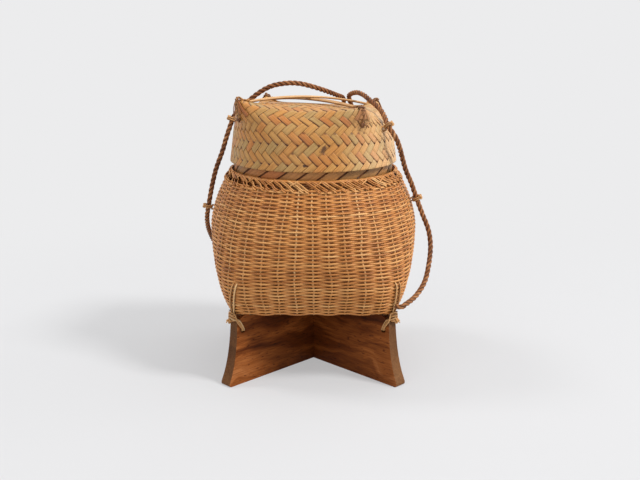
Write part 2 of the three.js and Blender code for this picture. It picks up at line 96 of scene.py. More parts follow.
# Each ear's angle in degrees and its rise in millimetres
EARS = {"back_right": (45, 9), "back_left": (135, 9), "front_left": (225, 6), "front_right": (315, 3.5)}

# The woven crown bows up 2 mm more than the solid one
CROWN_DOME = 3.0 * MM


# Numbers and points
def unit(v):
    length = np.linalg.norm(v, axis=-1, keepdims=True)
    return v / np.maximum(length, 1e-12)


def smooth(x):
    x = np.clip(x, 0, 1)
    return x * x * (3 - 2 * x)


def full_turn(count):
    return np.linspace(0, TURN, count, endpoint=False)


def outward(angle):
    """The level direction at an angle round the axis, or one for each of several angles."""
    return np.stack([np.cos(angle), np.sin(angle), np.zeros_like(angle)], -1)


def around(out, aside, turn):
    """The direction at a turn from out towards aside, or one for each point of a line."""
    return out * np.cos(turn)[..., None] + aside * np.sin(turn)[..., None]


def ripple(length, count, size):
    """A closed smooth wander of that size, from a few random waves."""
    waves = sum(
        random.normal() * np.sin(k * full_turn(length) + random.uniform(0, 6.3))
        for k in range(1, count + 1))
    return size * waves / math.sqrt(count)


def turned(points, turn):
    c, s = np.cos(turn), np.sin(turn)
    x, y = points[..., 0], points[..., 1]
    return np.stack([c * x - s * y, s * x + c * y, points[..., 2]], -1)


def profile_far(z, half_width):
    """How far along a profile each of its points lies."""
    return np.concatenate([[0], np.cumsum(np.hypot(np.diff(z), np.diff(half_width)))])


def line_far(points):
    """How far along a line each of its points lies."""
    return np.concatenate([[0], np.cumsum(np.linalg.norm(np.diff(points, axis=0), axis=1))])


def along_curve(points, spacing):
    """Points evenly along a centripetal curve, such as the cord follows through its route."""
    points = [Vector(p) for p in points]
    points = [points[0] * 2 - points[1], *points, points[-1] * 2 - points[-2]]
    dense = []
    for p0, p1, p2, p3 in zip(points, points[1:], points[2:], points[3:]):
        a, b, c = ((q - p).length ** 0.5 for p, q in ((p0, p1), (p1, p2), (p2, p3)))
        out = ((p1 - p0) / a - (p2 - p0) / (a + b) + (p2 - p1) / b) * b
        into = ((p2 - p1) / b - (p3 - p1) / (b + c) + (p3 - p2) / c) * b
        for t in np.arange(24) / 24:
            dense.append(p1 + out * t + (p2 * 3 - p1 * 3 - out * 2 - into) * t * t
                         + (p1 * 2 - p2 * 2 + out + into) * t ** 3)
    dense = np.array([*dense, points[-2]])
    far = line_far(dense)
    at = np.linspace(0, far[-1], max(2, round(far[-1] / spacing) + 1))
    return np.stack([np.interp(at, far, dense[:, k]) for k in range(3)], 1)


def carried_normals(centres):
    """A normal at each point of a curve, carried along it without twist."""
    ahead = unit(np.gradient(centres, axis=0))
    normal = np.cross(ahead[0], (0.3, 0.2, 1))
    found = []
    for direction in ahead:
        normal = normal - direction * (normal @ direction)
        normal = normal / np.linalg.norm(normal)
        found.append(normal)
    return np.array(found)


def ring_faces(rings, sides, closed=False):
    """The faces between each ring of points and the next, and back to the first if closed."""
    return [
        (i * sides + k, (i + 1) % rings * sides + k, (i + 1) % rings * sides + (k + 1) % sides,
         i * sides + (k + 1) % sides)
        for i in range(rings if closed else rings - 1) for k in range(sides)]


# Objects
def link(piece):
    scene.collection.objects.link(piece)
    return piece


def smooth_faces(data):
    data.polygons.foreach_set("use_smooth", np.ones(len(data.polygons), bool))


def mesh_object(name, points, faces, material):
    data = bpy.data.meshes.new(name)
    data.from_pydata(points, [], faces)
    data.materials.append(material)
    smooth_faces(data)
    return link(bpy.data.objects.new(name, data))


def turn_piece(piece, turn):
    """Turns a piece about the upright axis."""
    piece.data.transform(Euler((0, 0, turn)).to_matrix().to_4x4())


def cut_off(piece, z, above):
    """Cuts a piece made of closed strands off square at height z and closes the cuts."""
    bm = bmesh.new()
    bm.from_mesh(piece.data)
    cut = bmesh.ops.bisect_plane(
        bm, geom=bm.verts[:] + bm.edges[:] + bm.faces[:], plane_co=(0, 0, z),
        plane_no=(0, 0, 1 if above else -1), clear_outer=True)
    edges = [e for e in cut["geom_cut"] if isinstance(e, bmesh.types.BMEdge)]
    bmesh.ops.holes_fill(bm, edges=edges, sides=0)
    bm.to_mesh(piece.data)
    bm.free()
    smooth_faces(piece.data)


def declare(piece, slot, body, *nodes):
    """Says the body that a piece rides and the nodes that it stands for; the slot is not used."""
    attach(piece, body)
    if nodes:
        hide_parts(*nodes)


def declare_on_lid(piece, slot, *nodes):
    """Declares a piece of the lid, which is turned on the neck with all that it has."""
    turn_piece(piece, LID_TURN)
    declare(piece, slot, "lid", *nodes)


# Strands
class Strands:
    """Tubes and plates that are gathered into one mesh, with values for its material."""

    def __init__(self):
        self.points, self.faces, self.tone, self.deep, self.grain = [], [], [], [], []
        self.count = 0

    def add(self, points, faces, tone, deep, grain):
        size = len(points)
        self.points.append(points)
        self.faces.extend([[i + self.count for i in face] for face in faces])
        self.tone.append(np.broadcast_to(tone, size))
        self.deep.append(np.broadcast_to(deep, size))
        self.grain.append(grain)
        self.count += size

    def tube(self, centres, out, half_width, half_depth, tone, deep=0.0, sides=6, closed=False,
             groove=0.0):
        """An oval tube along a line, reaching half_depth each way towards out. Its colour carries painted
        shade where it is given, and a groove paints shade down the half that faces away from out.
        """
        centres = np.asarray(centres, float)
        out = np.broadcast_to(out, centres.shape)
        n = len(centres)
        if closed:
            ahead = unit(np.roll(centres, -1, 0) - np.roll(centres, 1, 0))
        else:
            ahead = unit(np.gradient(centres, axis=0))
        side = unit(np.cross(ahead, out))
        up = np.cross(side, ahead)
        turn = TURN * (np.arange(sides) + 0.5) / sides
        half_width = np.broadcast_to(half_width, n)[:, None, None]
        half_depth = np.broadcast_to(half_depth, n)[:, None, None]
        ring = (centres[:, None] + side[:, None] * np.cos(turn)[None, :, None] * half_width
                + up[:, None] * np.sin(turn)[None, :, None] * half_depth)
        faces = ring_faces(n, sides, closed)
        if not closed:
            faces.append(tuple(range(sides)))
            faces.append(tuple((n - 1) * sides + k for k in reversed(range(sides))))
        grain = np.zeros((n, sides, 3))
        grain[..., 0] = line_far(centres)[:, None]
        grain[..., 1] = np.cos(turn)[None] * half_width[..., 0]
        grain[..., 2] = random.uniform(0, 40)
        tone = np.repeat(np.broadcast_to(tone, n), sides)
        deep = np.repeat(np.broadcast_to(deep, n), sides)
        if groove:
            deep = np.maximum(deep, groove * np.tile(smooth(0.85 - np.sin(turn)), n))
        self.add(ring.reshape(-1, 3), faces, tone, deep, grain.reshape(-1, 3))

    def through(self, points, half_width, half_depth, tone, groove=0.0):
        """An open strand on the curve through a few points."""
        centres = along_curve(points, 1.0 * MM)
        self.tube(centres, carried_normals(centres), half_width, half_depth, tone, groove=groove)

    def knot(self, centre, size, radius, out, tone):
        """A small tight knot: one closed strand with three lobes."""
        turn = full_turn(36)
        line = np.stack([np.sin(turn) + 2 * np.sin(2 * turn), np.cos(turn) - 2 * np.cos(2 * turn),
                         -1.2 * np.sin(3 * turn)], -1) * size / 3
        line = line @ np.array(Vector(out).to_track_quat("Z", "Y").to_matrix()).T
        self.tube(line + np.array(centre), unit(line + np.array(out) * size * 0.6), radius, radius,
                  tone, closed=True)

    def mesh(self, name, material):
        piece = mesh_object(name, np.concatenate(self.points), self.faces, material)
        for key, values in (("tone", self.tone), ("deep", self.deep)):
            layer = piece.data.attributes.new(key, "FLOAT", "POINT")
            layer.data.foreach_set("value", np.concatenate(values).astype(np.float32))
        layer = piece.data.attributes.new("grain", "FLOAT_VECTOR", "POINT")
        layer.data.foreach_set("vector", np.concatenate(self.grain).astype(np.float32).ravel())
        return piece


# Material nodes. Colours are sRGB out of 255.
def new_material(name, roughness, specular=0.42):
    material = bpy.data.materials.new(name)
    material.use_nodes = True
    shader = material.node_tree.nodes["Principled BSDF"]
    shader.inputs["Roughness"].default_value = roughness
    shader.inputs["Specular IOR Level"].default_value = specular
    return material, material.node_tree, shader


def add_node(tree, kind, values=(), **settings):
    made = tree.nodes.new(kind)
    for key, value in settings.items():
        setattr(made, key, value)
    for key, value in dict(values).items():
        if hasattr(value, "node"):
            tree.links.new(value, made.inputs[key])
        else:
            made.inputs[key].default_value = value
    return made


def coordinates(tree, kind="Object"):
    return add_node(tree, "ShaderNodeTexCoord").outputs[kind]


def part_x(tree, vector):
    return add_node(tree, "ShaderNodeSeparateXYZ", {"Vector": vector}).outputs["X"]


def maths(tree, operation, a, b=0.0):
    return add_node(tree, "ShaderNodeMath", {0: a, 1: b}, operation=operation).outputs[0]


def vector_maths(tree, operation, values, output):
    return add_node(tree, "ShaderNodeVectorMath", values, operation=operation).outputs[output]


def mapped(tree, value, low, high, to_low=0.0, to_high=1.0, curve="LINEAR"):
    made = add_node(tree, "ShaderNodeMapRange", {
        "Value": value, "From Min": low, "From Max": high, "To Min": to_low, "To Max": to_high},
        interpolation_type=curve)
    return made.outputs["Result"]


def linear(colour):
    """An sRGB colour as the linear colour that a node holds."""
    parts = [c / 255 for c in colour]
    return (*[p / 12.92 if p <= 0.04045 else ((p + 0.055) / 1.055) ** 2.4 for p in parts], 1)


def colour_ramp(tree, factor, stops):
    ramp = add_node(tree, "ShaderNodeValToRGB", {"Fac": factor})
    elements = ramp.color_ramp.elements
    while len(elements) < len(stops):
        elements.new(0.5)
    for element, (position, colour) in zip(elements, stops):
        element.position = position
        element.color = linear(colour)
    return ramp.outputs["Color"]


def mix_colour(tree, factor, a, b, blend="MIX"):
    made = add_node(tree, "ShaderNodeMix", {0: factor, 6: a, 7: b}, data_type="RGBA", blend_type=blend)
    return made.outputs[2]


def darkened(tree, amount, colour, pattern, stops):
    """A colour with a pattern's dark lines or dots over it."""
    return mix_colour(tree, amount, colour, colour_ramp(tree, pattern, stops), "MULTIPLY")


def noise(tree, vector, scale=1.0, detail=3.0, rough=0.55, distortion=0.0):
    made = add_node(tree, "ShaderNodeTexNoise", {
        "Vector": vector, "Scale": scale, "Detail": detail, "Roughness": rough,
        "Distortion": distortion})
    return made.outputs["Fac"]


def stretched(tree, vector, scale, rotation=(0, 0, 0)):
    made = add_node(tree, "ShaderNodeMapping", {
        "Vector": vector, "Scale": scale, "Rotation": rotation})
    return made.outputs["Vector"]


def add_bump(tree, shader, height, distance, strength):
    made = add_node(tree, "ShaderNodeBump", {
        "Height": height, "Distance": distance, "Strength": strength})
    tree.links.new(made.outputs["Normal"], shader.inputs["Normal"])


# Materials
WHITE = (255, 255, 255)
BLACK = (0, 0, 0)
# Painted highlight: the lid's right side, where the light falls, is made paler in this colour, from the
# first distance along x to the second
PAINTED_HIGHLIGHT_COLOUR = (240, 206, 156)
PAINTED_HIGHLIGHT_START_X = 0.02
PAINTED_HIGHLIGHT_FULL_X = 0.075


def strand_material(name, stops, shadow, fine, roughness=0.5, streak=0.5, patch=0.25, stains=(),
                    painted_highlight=0.0):
    """Split bamboo or cane: a tone for each strand, streaks along it, painted shade where it dives and,
    if asked, a painted highlight that makes its right side paler.
    """
    material, tree, shader = new_material(name, roughness)
    place = coordinates(tree)
    grain, tone, deep = (
        add_node(tree, "ShaderNodeAttribute", attribute_name=key).outputs[output]
        for key, output in (("grain", "Vector"), ("tone", "Fac"), ("deep", "Fac")))
    fibres = noise(tree, stretched(tree, grain, (45, fine, 1)), rough=0.6)
    blotch = noise(tree, place, 38.0, rough=0.6)
    for pattern, amount in ((fibres, streak), (blotch, patch)):
        centred = maths(tree, "SUBTRACT", pattern, 0.5)
        tone = maths(tree, "ADD", tone, maths(tree, "MULTIPLY", centred, amount))
    colour = colour_ramp(tree, tone, stops)
    fine_lines = noise(tree, stretched(tree, grain, (60, fine * 3, 1)), 1.0, 2.0, 0.5)
    colour = darkened(tree, 0.7, colour, fine_lines, [(0.3, (205, 190, 170)), (0.6, WHITE)])
    # Painted highlight: paler towards the right side, where the light falls
    if painted_highlight:
        amount = mapped(tree, part_x(tree, place), PAINTED_HIGHLIGHT_START_X, PAINTED_HIGHLIGHT_FULL_X, 0, painted_highlight)
        colour = mix_colour(tree, amount, colour, linear(PAINTED_HIGHLIGHT_COLOUR))
    # Painted shade: towards the shadow colour where a strand dives, lies under others or sits in a groove
    colour = mix_colour(tree, deep, colour, linear(shadow))
    for centre, reach, turn, dark in stains:
        away = add_node(tree, "ShaderNodeMapping", {
            "Vector": place, "Location": centre, "Rotation": (0, turn, 0), "Scale": reach},
            vector_type="TEXTURE").outputs["Vector"]
        far = vector_maths(tree, "LENGTH", {0: away}, "Value")
        ragged = maths(tree, "ADD", far, maths(tree, "MULTIPLY", noise(tree, place, 500.0), 0.7))
        mark = colour_ramp(tree, ragged, [(0.75, WHITE), (1.0, BLACK)])
        colour = mix_colour(tree, mark, colour, linear(dark))
    tree.links.new(colour, shader.inputs["Base Color"])
    rough = mapped(tree, fibres, 0, 1, roughness - 0.08, roughness + 0.15)
    tree.links.new(rough, shader.inputs["Roughness"])
    add_bump(tree, shader, fine_lines, 0.15 * MM, 0.6)
    return material


def wood_material(name, turn):
    """Red-brown board: dark figure and pores along the board, greyed ends, and painted light that makes
    it lighter outwards, away from the basket's shade.
    """
    material, tree, shader = new_material(name, 0.55, 0.12)
    board = stretched(tree, coordinates(tree), (1, 1, 1), (0, 0, turn))
    wander = noise(tree, stretched(tree, board, (8, 8, 16)))
    push = add_node(tree, "ShaderNodeCombineXYZ", {"Z": maths(tree, "MULTIPLY", wander, 3.6)})
    bent = vector_maths(tree, "ADD", {
        0: stretched(tree, board, (6, 40, 44)), 1: push.outputs["Vector"]}, "Vector")
    figure = maths(tree, "SUBTRACT", noise(tree, bent, 1.0, 4.0, 0.62, 0.5), 0.085)
    # Painted light: lighter towards the board's outer ends, darker in the middle under the basket's shade
    outer = maths(tree, "MULTIPLY", maths(tree, "ABSOLUTE", part_x(tree, board)), 1.5)
    colour = colour_ramp(tree, maths(tree, "ADD", figure, outer), [
        (0.3, (50, 18, 1)), (0.46, (94, 43, 8)), (0.6, (148, 83, 35)), (0.76, (184, 118, 67))])
    pores = noise(tree, stretched(tree, board, (160, 700, 700)), 1.0, 1.0, 0.5)
    colour = darkened(tree, 0.8, colour, pores, [(0.28, (120, 90, 70)), (0.36, WHITE)])
    facing = stretched(tree, coordinates(tree, "Normal"), (1, 1, 1), (0, 0, turn))
    end = mapped(tree, maths(tree, "ABSOLUTE", part_x(tree, facing)), 0.45, 0.8)
    grey = colour_ramp(tree, wander, [(0.35, (84, 54, 30)), (0.65, (128, 92, 58))])
    colour = mix_colour(tree, maths(tree, "MULTIPLY", end, 0.85), colour, grey)
    fibres = noise(tree, stretched(tree, board, (60, 900, 900)), 1.0, 2.0, 0.6)
    colour = darkened(tree, 0.8, colour, fibres, [(0.3, (190, 175, 160)), (0.62, WHITE)])
    tree.links.new(colour, shader.inputs["Base Color"])
    add_bump(tree, shader, fibres, 0.2 * MM, 0.5)
    return material


def dark_material(name):
    """Matte brown with blotches only, for what lies under a weave: its darkness is painted shade in the
    gaps between strips.
    """
    material, tree, shader = new_material(name, 0.8)
    blotch = noise(tree, coordinates(tree), 160.0, 5.0, 0.6)
    colour = colour_ramp(tree, blotch, [(0.35, (74, 36, 8)), (0.65, (112, 62, 20))])
    tree.links.new(colour, shader.inputs["Base Color"])
    add_bump(tree, shader, blotch, 0.3 * MM, 0.7)
    return material


# Stains on the lid's front: each one's middle, reach, turn and colour
STAINS = [
    ((0.0096, -0.082, 0.2176), (0.0096, 0.02, 0.0052), math.radians(-45), (92, 58, 30)),
    ((-0.0071, -0.08, 0.2033), (0.0030, 0.02, 0.0026), 0.0, (74, 44, 20))]
cane = strand_material("cane", [
    (0.0, (158, 94, 36)), (0.35, (194, 126, 60)), (0.65, (212, 148, 80)), (1.0, (232, 180, 116))],
    (98, 46, 10), 900, 0.45, 0.4, 0.3)
pale_cane = strand_material("pale_cane", [
    (0.0, (176, 122, 66)), (0.4, (205, 154, 96)), (0.7, (222, 178, 122)), (1.0, (236, 202, 152))],
    (86, 48, 20), 900, 0.45, 0.4, 0.25)
bamboo = strand_material("bamboo", [
    (0.0, (174, 138, 82)), (0.22, (184, 138, 76)), (0.45, (194, 138, 70)),
    (0.72, (190, 126, 61)), (1.0, (180, 108, 50))],
    (72, 30, 4), 380, 0.4, 0.45, 0.25, STAINS, painted_highlight=0.4)
lining_bamboo = strand_material("lining_bamboo", [
    (0.0, (118, 88, 46)), (0.3, (160, 114, 62)), (0.6, (188, 132, 72)), (1.0, (200, 138, 76))],
    (62, 28, 4), 380, 0.5, 0.3, 0.3)
neck_bamboo = strand_material("neck_bamboo", [
    (0.0, (116, 84, 42)), (0.3, (156, 110, 58)), (0.6, (190, 130, 68)), (1.0, (186, 112, 54))],
    (40, 14, 0), 300, 0.45, 0.5, 0.4)
dark_tie = strand_material("dark_tie", [
    (0.0, (104, 64, 34)), (0.5, (146, 98, 56)), (1.0, (198, 148, 92))], (60, 32, 14), 900, 0.6)
cord_fibre = strand_material("cord_fibre", [
    (0.0, (98, 54, 26)), (0.4, (144, 90, 48)), (0.75, (178, 120, 72)), (1.0, (212, 160, 110))],
    (44, 22, 10), 2600, 0.75, 0.9, 0.3)
# The dark stuff under the weaves: painted shade that shows through the gaps between strips
shade_under_weave = dark_material("shade_under_weave")

# The cord: one twisted length from the back left corner over the lid to the front right
CORD_LAY = 15 * MM
CORD_STEP = 1.6 * MM
TAIL_STEP = 0.8 * MM

# Its route in millimetres, as the solids have it, through the loops that hold it
CORD_ROUTE = [
    (-80, 79.5, 79), (-88, 76, 84), (-96.5, 68, 91), (-102.5, 56, 102), (-105, 40, 115),
    (-105.5, 24, 128), (-104.3, 13, 140), "shoulder_loop_left", (-98.2, 9.2, 170), (-94, 10, 186),
    (-87, 11.05, 204.8), (-84.2, 11.8, 214), (-80.8, 12.7, 224), "lid_loop_left",
    (-72.3, 13.5, 242), (-66.3, 13.3, 247.3), (-60, 13.1, 252.4), (-53, 12.8, 257.8),
    (-44.8, 12, 262.9), (-38, 11.4, 265.7), (-29, 10.7, 267.5), (-20.6, 10.6, 268.1),
    (-11, 12, 267.1), (-1.6, 15.6, 264.6), (8.3, 21.5, 261.1), (16.3, 30, 257.6),
    (23.4, 40, 254.1), (28.5, 51, 251.2), (29.8, 59.5, 247.8), (30.2, 66, 242), (30.6, 71.5, 235),
    (31, 76.5, 225), (30.5, 80.5, 212), (30, 83, 199), (29, 85, 188), (28, 88, 174),
    (27.5, 92.8, 160), (28, 97.2, 147), (31.5, 99, 136), (41.5, 96.8, 130.5), (51.5, 91.8, 136),
    (55, 88, 147), (54.5, 82.8, 160), (53, 78.3, 174), (51, 75.8, 188), (49, 75, 199),
    (46.5, 74.5, 212), (44, 72.5, 225), (40.8, 69.5, 235.5), (37.4, 66, 243.5), (35.6, 61, 249),
    (35.2, 54.5, 252.4), (36.6, 47, 254.8), (39.2, 39, 256.6), (43, 29.5, 257.6),
    (48, 18.5, 256.2), (53, 6, 252.8), (58.4, -7, 249), (62.4, -18.5, 245.2), (65, -29.5, 240.4),
    "lid_loop_right", (74.5, -43, 223), (78.4, -38.2, 213.5), (81.25, -31.4, 204.8),
    (85.6, -26.5, 191), (91.5, -21, 178), "shoulder_loop_right", (102.9, -18.5, 148),
    (108.5, -22, 134), (110.4, -27, 120.5), (107.7, -40, 104.2), (102.6, -52, 90.5),
    (93, -65, 81), (80.2, -79.3, 76),
]
loop_centres = {
    name: sum(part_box(name), Vector()) / 2 for name in CORD_ROUTE if isinstance(name, str)}
route = [loop_centres[p] if p in loop_centres else Vector([c * MM for c in p]) for p in CORD_ROUTE]


def twisted(name, line, far, offset, half_width, half_depth, tone):
    """Three strands laid together along a line. tone(strand) gives a strand its tone."""
    out = carried_normals(line)
    side = np.cross(unit(np.gradient(line, axis=0)), out)
    strands = Strands()
    for strand in range(3):
        turn = TURN * (strand / 3 + far / CORD_LAY)
        away = around(out, side, turn)
        # The groove paints shade where the three strands press together
        strands.tube(line + away * offset * MM, away, half_width * MM, half_depth * MM,
                     tone(strand), sides=8, groove=0.95)
    return strands.mesh(name, cord_fibre)


def cord_tail(corner, end, before, corner_angle):
    """The cord's end, which goes in through the wall."""
    onward = unit(end - before)
    inward = -outward(math.radians(corner_angle))
    line = along_curve([
        end - onward * 1.5 * MM, end, end + (onward * 1.2 + inward * 1.6) * MM,
        end + (onward * 1.6 + inward * 4.5) * MM, end + (onward * 1.6 + inward * 9) * MM], TAIL_STEP)
    tail = twisted("cord_tail_" + corner, line, np.arange(len(line)) * TAIL_STEP, 1.25, 1.2, 1.12,
                   lambda strand: 0.45 + 0.15 * random.normal())
    declare(tail, "twisted_cord", "basket")
    return tail


cord_line = along_curve(route, CORD_STEP)
cord_length = float(line_far(cord_line)[-1])
cord_far = np.linspace(0, cord_length, len(cord_line))
cord = twisted(
    "carrying_cord", cord_line, cord_far, 1.32, 1.26, 1.18,
    lambda strand: 0.45 + 0.18 * np.sin(cord_far * 70 + strand)
    + 0.12 * random.normal(size=len(cord_far)))
tails = [cord_tail("back_left", cord_line[0], cord_line[1], 135),
         cord_tail("front_right", cord_line[-1], cord_line[-2], -45)]
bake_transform(cord)
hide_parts("cord_side_left", "cord_over_lid", "cord_side_right")

# Camera, at the photograph's viewing angle
SENSOR_WIDTH = 36
FOCAL_LENGTH_PIXELS = 900
IMAGE_WIDTH_PIXELS = 640
CAMERA_PLACE = (0.0063, -0.849, 0.329)
CAMERA_PITCH = math.radians(76.05)
camera = link(bpy.data.objects.new("camera", bpy.data.cameras.new("camera")))
camera.data.sensor_width = SENSOR_WIDTH
camera.data.lens = SENSOR_WIDTH * FOCAL_LENGTH_PIXELS / IMAGE_WIDTH_PIXELS
camera.data.clip_start = 0.01
camera.location = CAMERA_PLACE
camera.rotation_euler = Euler((CAMERA_PITCH, 0, 0))
scene.camera = camera

# Floor, backdrop and light
BACKGROUND = (236, 236, 237)
FLOOR_COLOURS = [(0.3, (195, 195, 196)), (0.7, (198, 198, 199))]
WORLD_COLOUR = (0.97, 0.98, 1, 1)
WORLD_STRENGTH = 0.5


def seen_directly(tree):
    """1 for rays that show the background itself, past the object, in a gloss or through it."""
    ray = add_node(tree, "ShaderNodeLightPath").outputs
    reflected = maths(tree, "MAXIMUM", ray["Is Glossy Ray"], ray["Is Transmission Ray"])
    return maths(tree, "MAXIMUM", ray["Is Camera Ray"], reflected)


def backdrop_material():
    """Pale stuff that shows the background's colour, more so away from the object's shadow."""
    material, tree, shader = new_material("backdrop", 0.9)
    place = coordinates(tree)
    tree.links.new(colour_ramp(tree, noise(tree, place, 2.0), FLOOR_COLOURS), shader.inputs["Base Color"])
    glow = add_node(tree, "ShaderNodeEmission", {"Color": linear(BACKGROUND)})
    away = vector_maths(tree, "LENGTH", {0: place}, "Value")
    clear = mapped(tree, away, 0.2, 0.7, 0.45, 1.0, "SMOOTHSTEP")
    mix = add_node(tree, "ShaderNodeMixShader", {
        0: maths(tree, "MULTIPLY", seen_directly(tree), clear), 1: shader.outputs["BSDF"],
        2: glow.outputs["Emission"]})
    tree.links.new(mix.outputs["Shader"], tree.nodes["Material Output"].inputs["Surface"])
    return material


def backdrop_sheet():
    """A floor that curves up into a wall behind the object."""
    bend_y, bend = 1.6, 0.9
    profile = [(-4.0, 0.0), (bend_y, 0.0)]
    profile += [(bend_y + bend * math.sin(a), bend - bend * math.cos(a))
                for a in np.linspace(0.1, QUARTER, 14)]
    profile += [(bend_y + bend, 4.0)]
    points = [(x, y, z) for y, z in profile for x in (-5, 5)]
    faces = [(2 * i, 2 * i + 1, 2 * i + 3, 2 * i + 2) for i in range(len(profile) - 1)]
    return mesh_object("backdrop", points, faces, backdrop_material())


def soft_box(name, place, aim_z, size, power):
    lamp = bpy.data.lights.new(name, "AREA")
    lamp.shape = "RECTANGLE"
    lamp.size = size
    lamp.size_y = size
    lamp.energy = power
    box = link(bpy.data.objects.new(name, lamp))
    box.location = place
    box.rotation_euler = (Vector((0, 0, aim_z)) - Vector(place)).to_track_quat("-Z", "Y").to_euler()


def pale_world():
    world = bpy.data.worlds.new("world")
    scene.world = world
    world.use_nodes = True
    tree = world.node_tree
    light = tree.nodes["Background"]
    light.inputs["Color"].default_value = WORLD_COLOUR
    light.inputs["Strength"].default_value = WORLD_STRENGTH
    pale = add_node(tree, "ShaderNodeBackground", {"Color": linear(BACKGROUND), "Strength": 1.0})
    mix = add_node(tree, "ShaderNodeMixShader", {
        0: seen_directly(tree), 1: light.outputs["Background"], 2: pale.outputs["Background"]})
    tree.links.new(mix.outputs["Shader"], tree.nodes["World Output"].inputs["Surface"])


backdrop_sheet()
soft_box("key_light", (2.75, -1.35, 3.45), 0.1, 0.9, 157)
soft_box("left_light", (-1.5, 0.3, 2.4), 0.1, 0.6, 20)
soft_box("top_light", (0.5, 0.6, 2.4), 0.2, 1.8, 9)
soft_box("front_light", (-1.2, -2.2, 1.3), 0.12, 2.0, 12)
soft_box("side_light", (2.4, 0.3, 0.9), 0.15, 1.2, 11)
pale_world()
scene.view_settings.view_transform = "Standard"

# The basket body: its outside surface, round at the rim and square at the base
STAKES = 40
STAKES_A_SIDE = STAKES // 4


def body_half_width(z):
    below = np.maximum(0, (BODY_BELLY_Z - z) / (BODY_BELLY_Z - BODY_BASE_Z))
    above = np.maximum(0, (z - BODY_BELLY_Z) / (BODY_RIM_Z - BODY_BELLY_Z))
    return (BODY_BELLY - (BODY_BELLY - BODY_BASE) * below ** LOWER_FULLNESS
            - (BODY_BELLY - BODY_RIM) * above ** UPPER_FULLNESS)


def body_squareness(z):
    share = np.clip((z - BODY_BASE_Z) / (BODY_RIM_Z - BODY_BASE_Z), 0, 1)
    return 2 + (BASE_SQUARENESS - 2) * (1 - share) ** SQUARENESS_FADE


def on_side(side, share, z, half_width):
    """A point on a side of the body's section, by its share of the side from the middle."""
    power = body_squareness(z)
    across = share * half_width * 2 ** (-1 / power)
    depth = np.maximum(half_width ** power - np.abs(across) ** power, 0) ** (1 / power)
    return turned(np.stack([across, -depth, z], -1), side * QUARTER)


def body_place(stake, z):
    """The point at a stake's number round the body, counted from the front left corner."""
    stake, z = np.broadcast_arrays(np.asarray(stake, float) % STAKES, np.asarray(z, float))
    side = np.floor(stake / STAKES_A_SIDE)
    share = stake / (STAKES_A_SIDE / 2) - 2 * side - 1
    return on_side(side, share, z, body_half_width(z))


def body_normals(stake, z):
    step, rise = 0.02, 0.4 * MM
    across = body_place(stake + step, z) - body_place(stake - step, z)
    up = body_place(stake, z + rise) - body_place(stake, z - rise)
    return unit(np.cross(across, up))


# The outer basket's rows go in and out of its stakes, and each lies a little off the one below
ROW_PITCH = 1.74 * MM
ROW_STEPS = 200
WAVE = 0.75 * MM
WALL_MIDDLE = 1.4 * MM
profile_z = np.linspace(BODY_BASE_Z, BODY_TOP_Z + 1.6 * MM, 400)
profile_length = profile_far(profile_z, body_half_width(profile_z))
ROW_COUNT = int(profile_length[-1] / ROW_PITCH)
row_z = np.interp(
    (np.arange(ROW_COUNT) + 0.5) * profile_length[-1] / ROW_COUNT, profile_length, profile_z)
stake_at = np.arange(ROW_STEPS) * STAKES / ROW_STEPS
rows = Strands()
sag = ripple(ROW_STEPS, 9, 0.5 * MM)
drift = ripple(ROW_STEPS, 12, 0.09)
drifts = []
for row in range(ROW_COUNT):
    sag = 0.8 * sag + ripple(ROW_STEPS, 14, 0.16 * MM)
    drift = 0.96 * drift + ripple(ROW_STEPS, 16, 0.025)
    drifts.append(drift)
    z = row_z[row] + smooth(min(row, ROW_COUNT - 1 - row) / 8) * sag
    wave = np.cos(np.pi * (stake_at + row - drift))
    out = body_normals(stake_at, z)
    centres = body_place(stake_at, z) + out * ((wave * WAVE - WALL_MIDDLE)[:, None])
    tone = 0.5 + 0.16 * random.normal() + ripple(ROW_STEPS, 5, 0.09)
    # Painted shade: each row darkens where it dives behind a stake
    deep = 0.6 * smooth((-0.1 - wave) / 0.6)
    rows.tube(centres, out, 0.56 * ROW_PITCH, 0.6 * MM, tone, deep, closed=True)
declare(rows.mesh("outer_rows", cane), "wicker", "basket", "outer_basket")

stakes = Strands()
for number in range(STAKES):
    z = np.linspace(BODY_BASE_Z + 0.6 * MM, BODY_TOP_Z + 2 * MM, 44)
    line = number + np.interp(z, row_z, [d[number * ROW_STEPS // STAKES] for d in drifts])
    out = body_normals(line, z)
    lean = ripple(44, 3, 0.25 * MM)[:, None] * unit(np.cross(UP, out))
    stakes.tube(body_place(line, z) - out * (WALL_MIDDLE + 0.1 * MM) + lean, out, 0.95 * MM, 0.6 * MM,
                0.4 + 0.15 * random.normal())
declare(stakes.mesh("outer_stakes", pale_cane), "wicker", "basket")


# The lid: its outside surface, round at the mouth and square at the crown, with four ears
def past_shoulder(z):
    return (z - LID_SHOULDER_Z) / (LID_CROWN_Z - LID_SHOULDER_Z)


def lid_half_width(z):
    taper = LID_SIDE_TAPER * np.maximum(0, z - LID_MOUTH_Z)
    return LID_MOUTH - taper - LID_SHOULDER_DROP * np.maximum(0, past_shoulder(z)) ** LID_SHOULDER_CURVE


LID_EDGE = float(lid_half_width(LID_CROWN_Z))


def square_stretch(angle, power):
    return (np.abs(np.cos(angle)) ** power + np.abs(np.sin(angle)) ** power) ** (-1 / power)


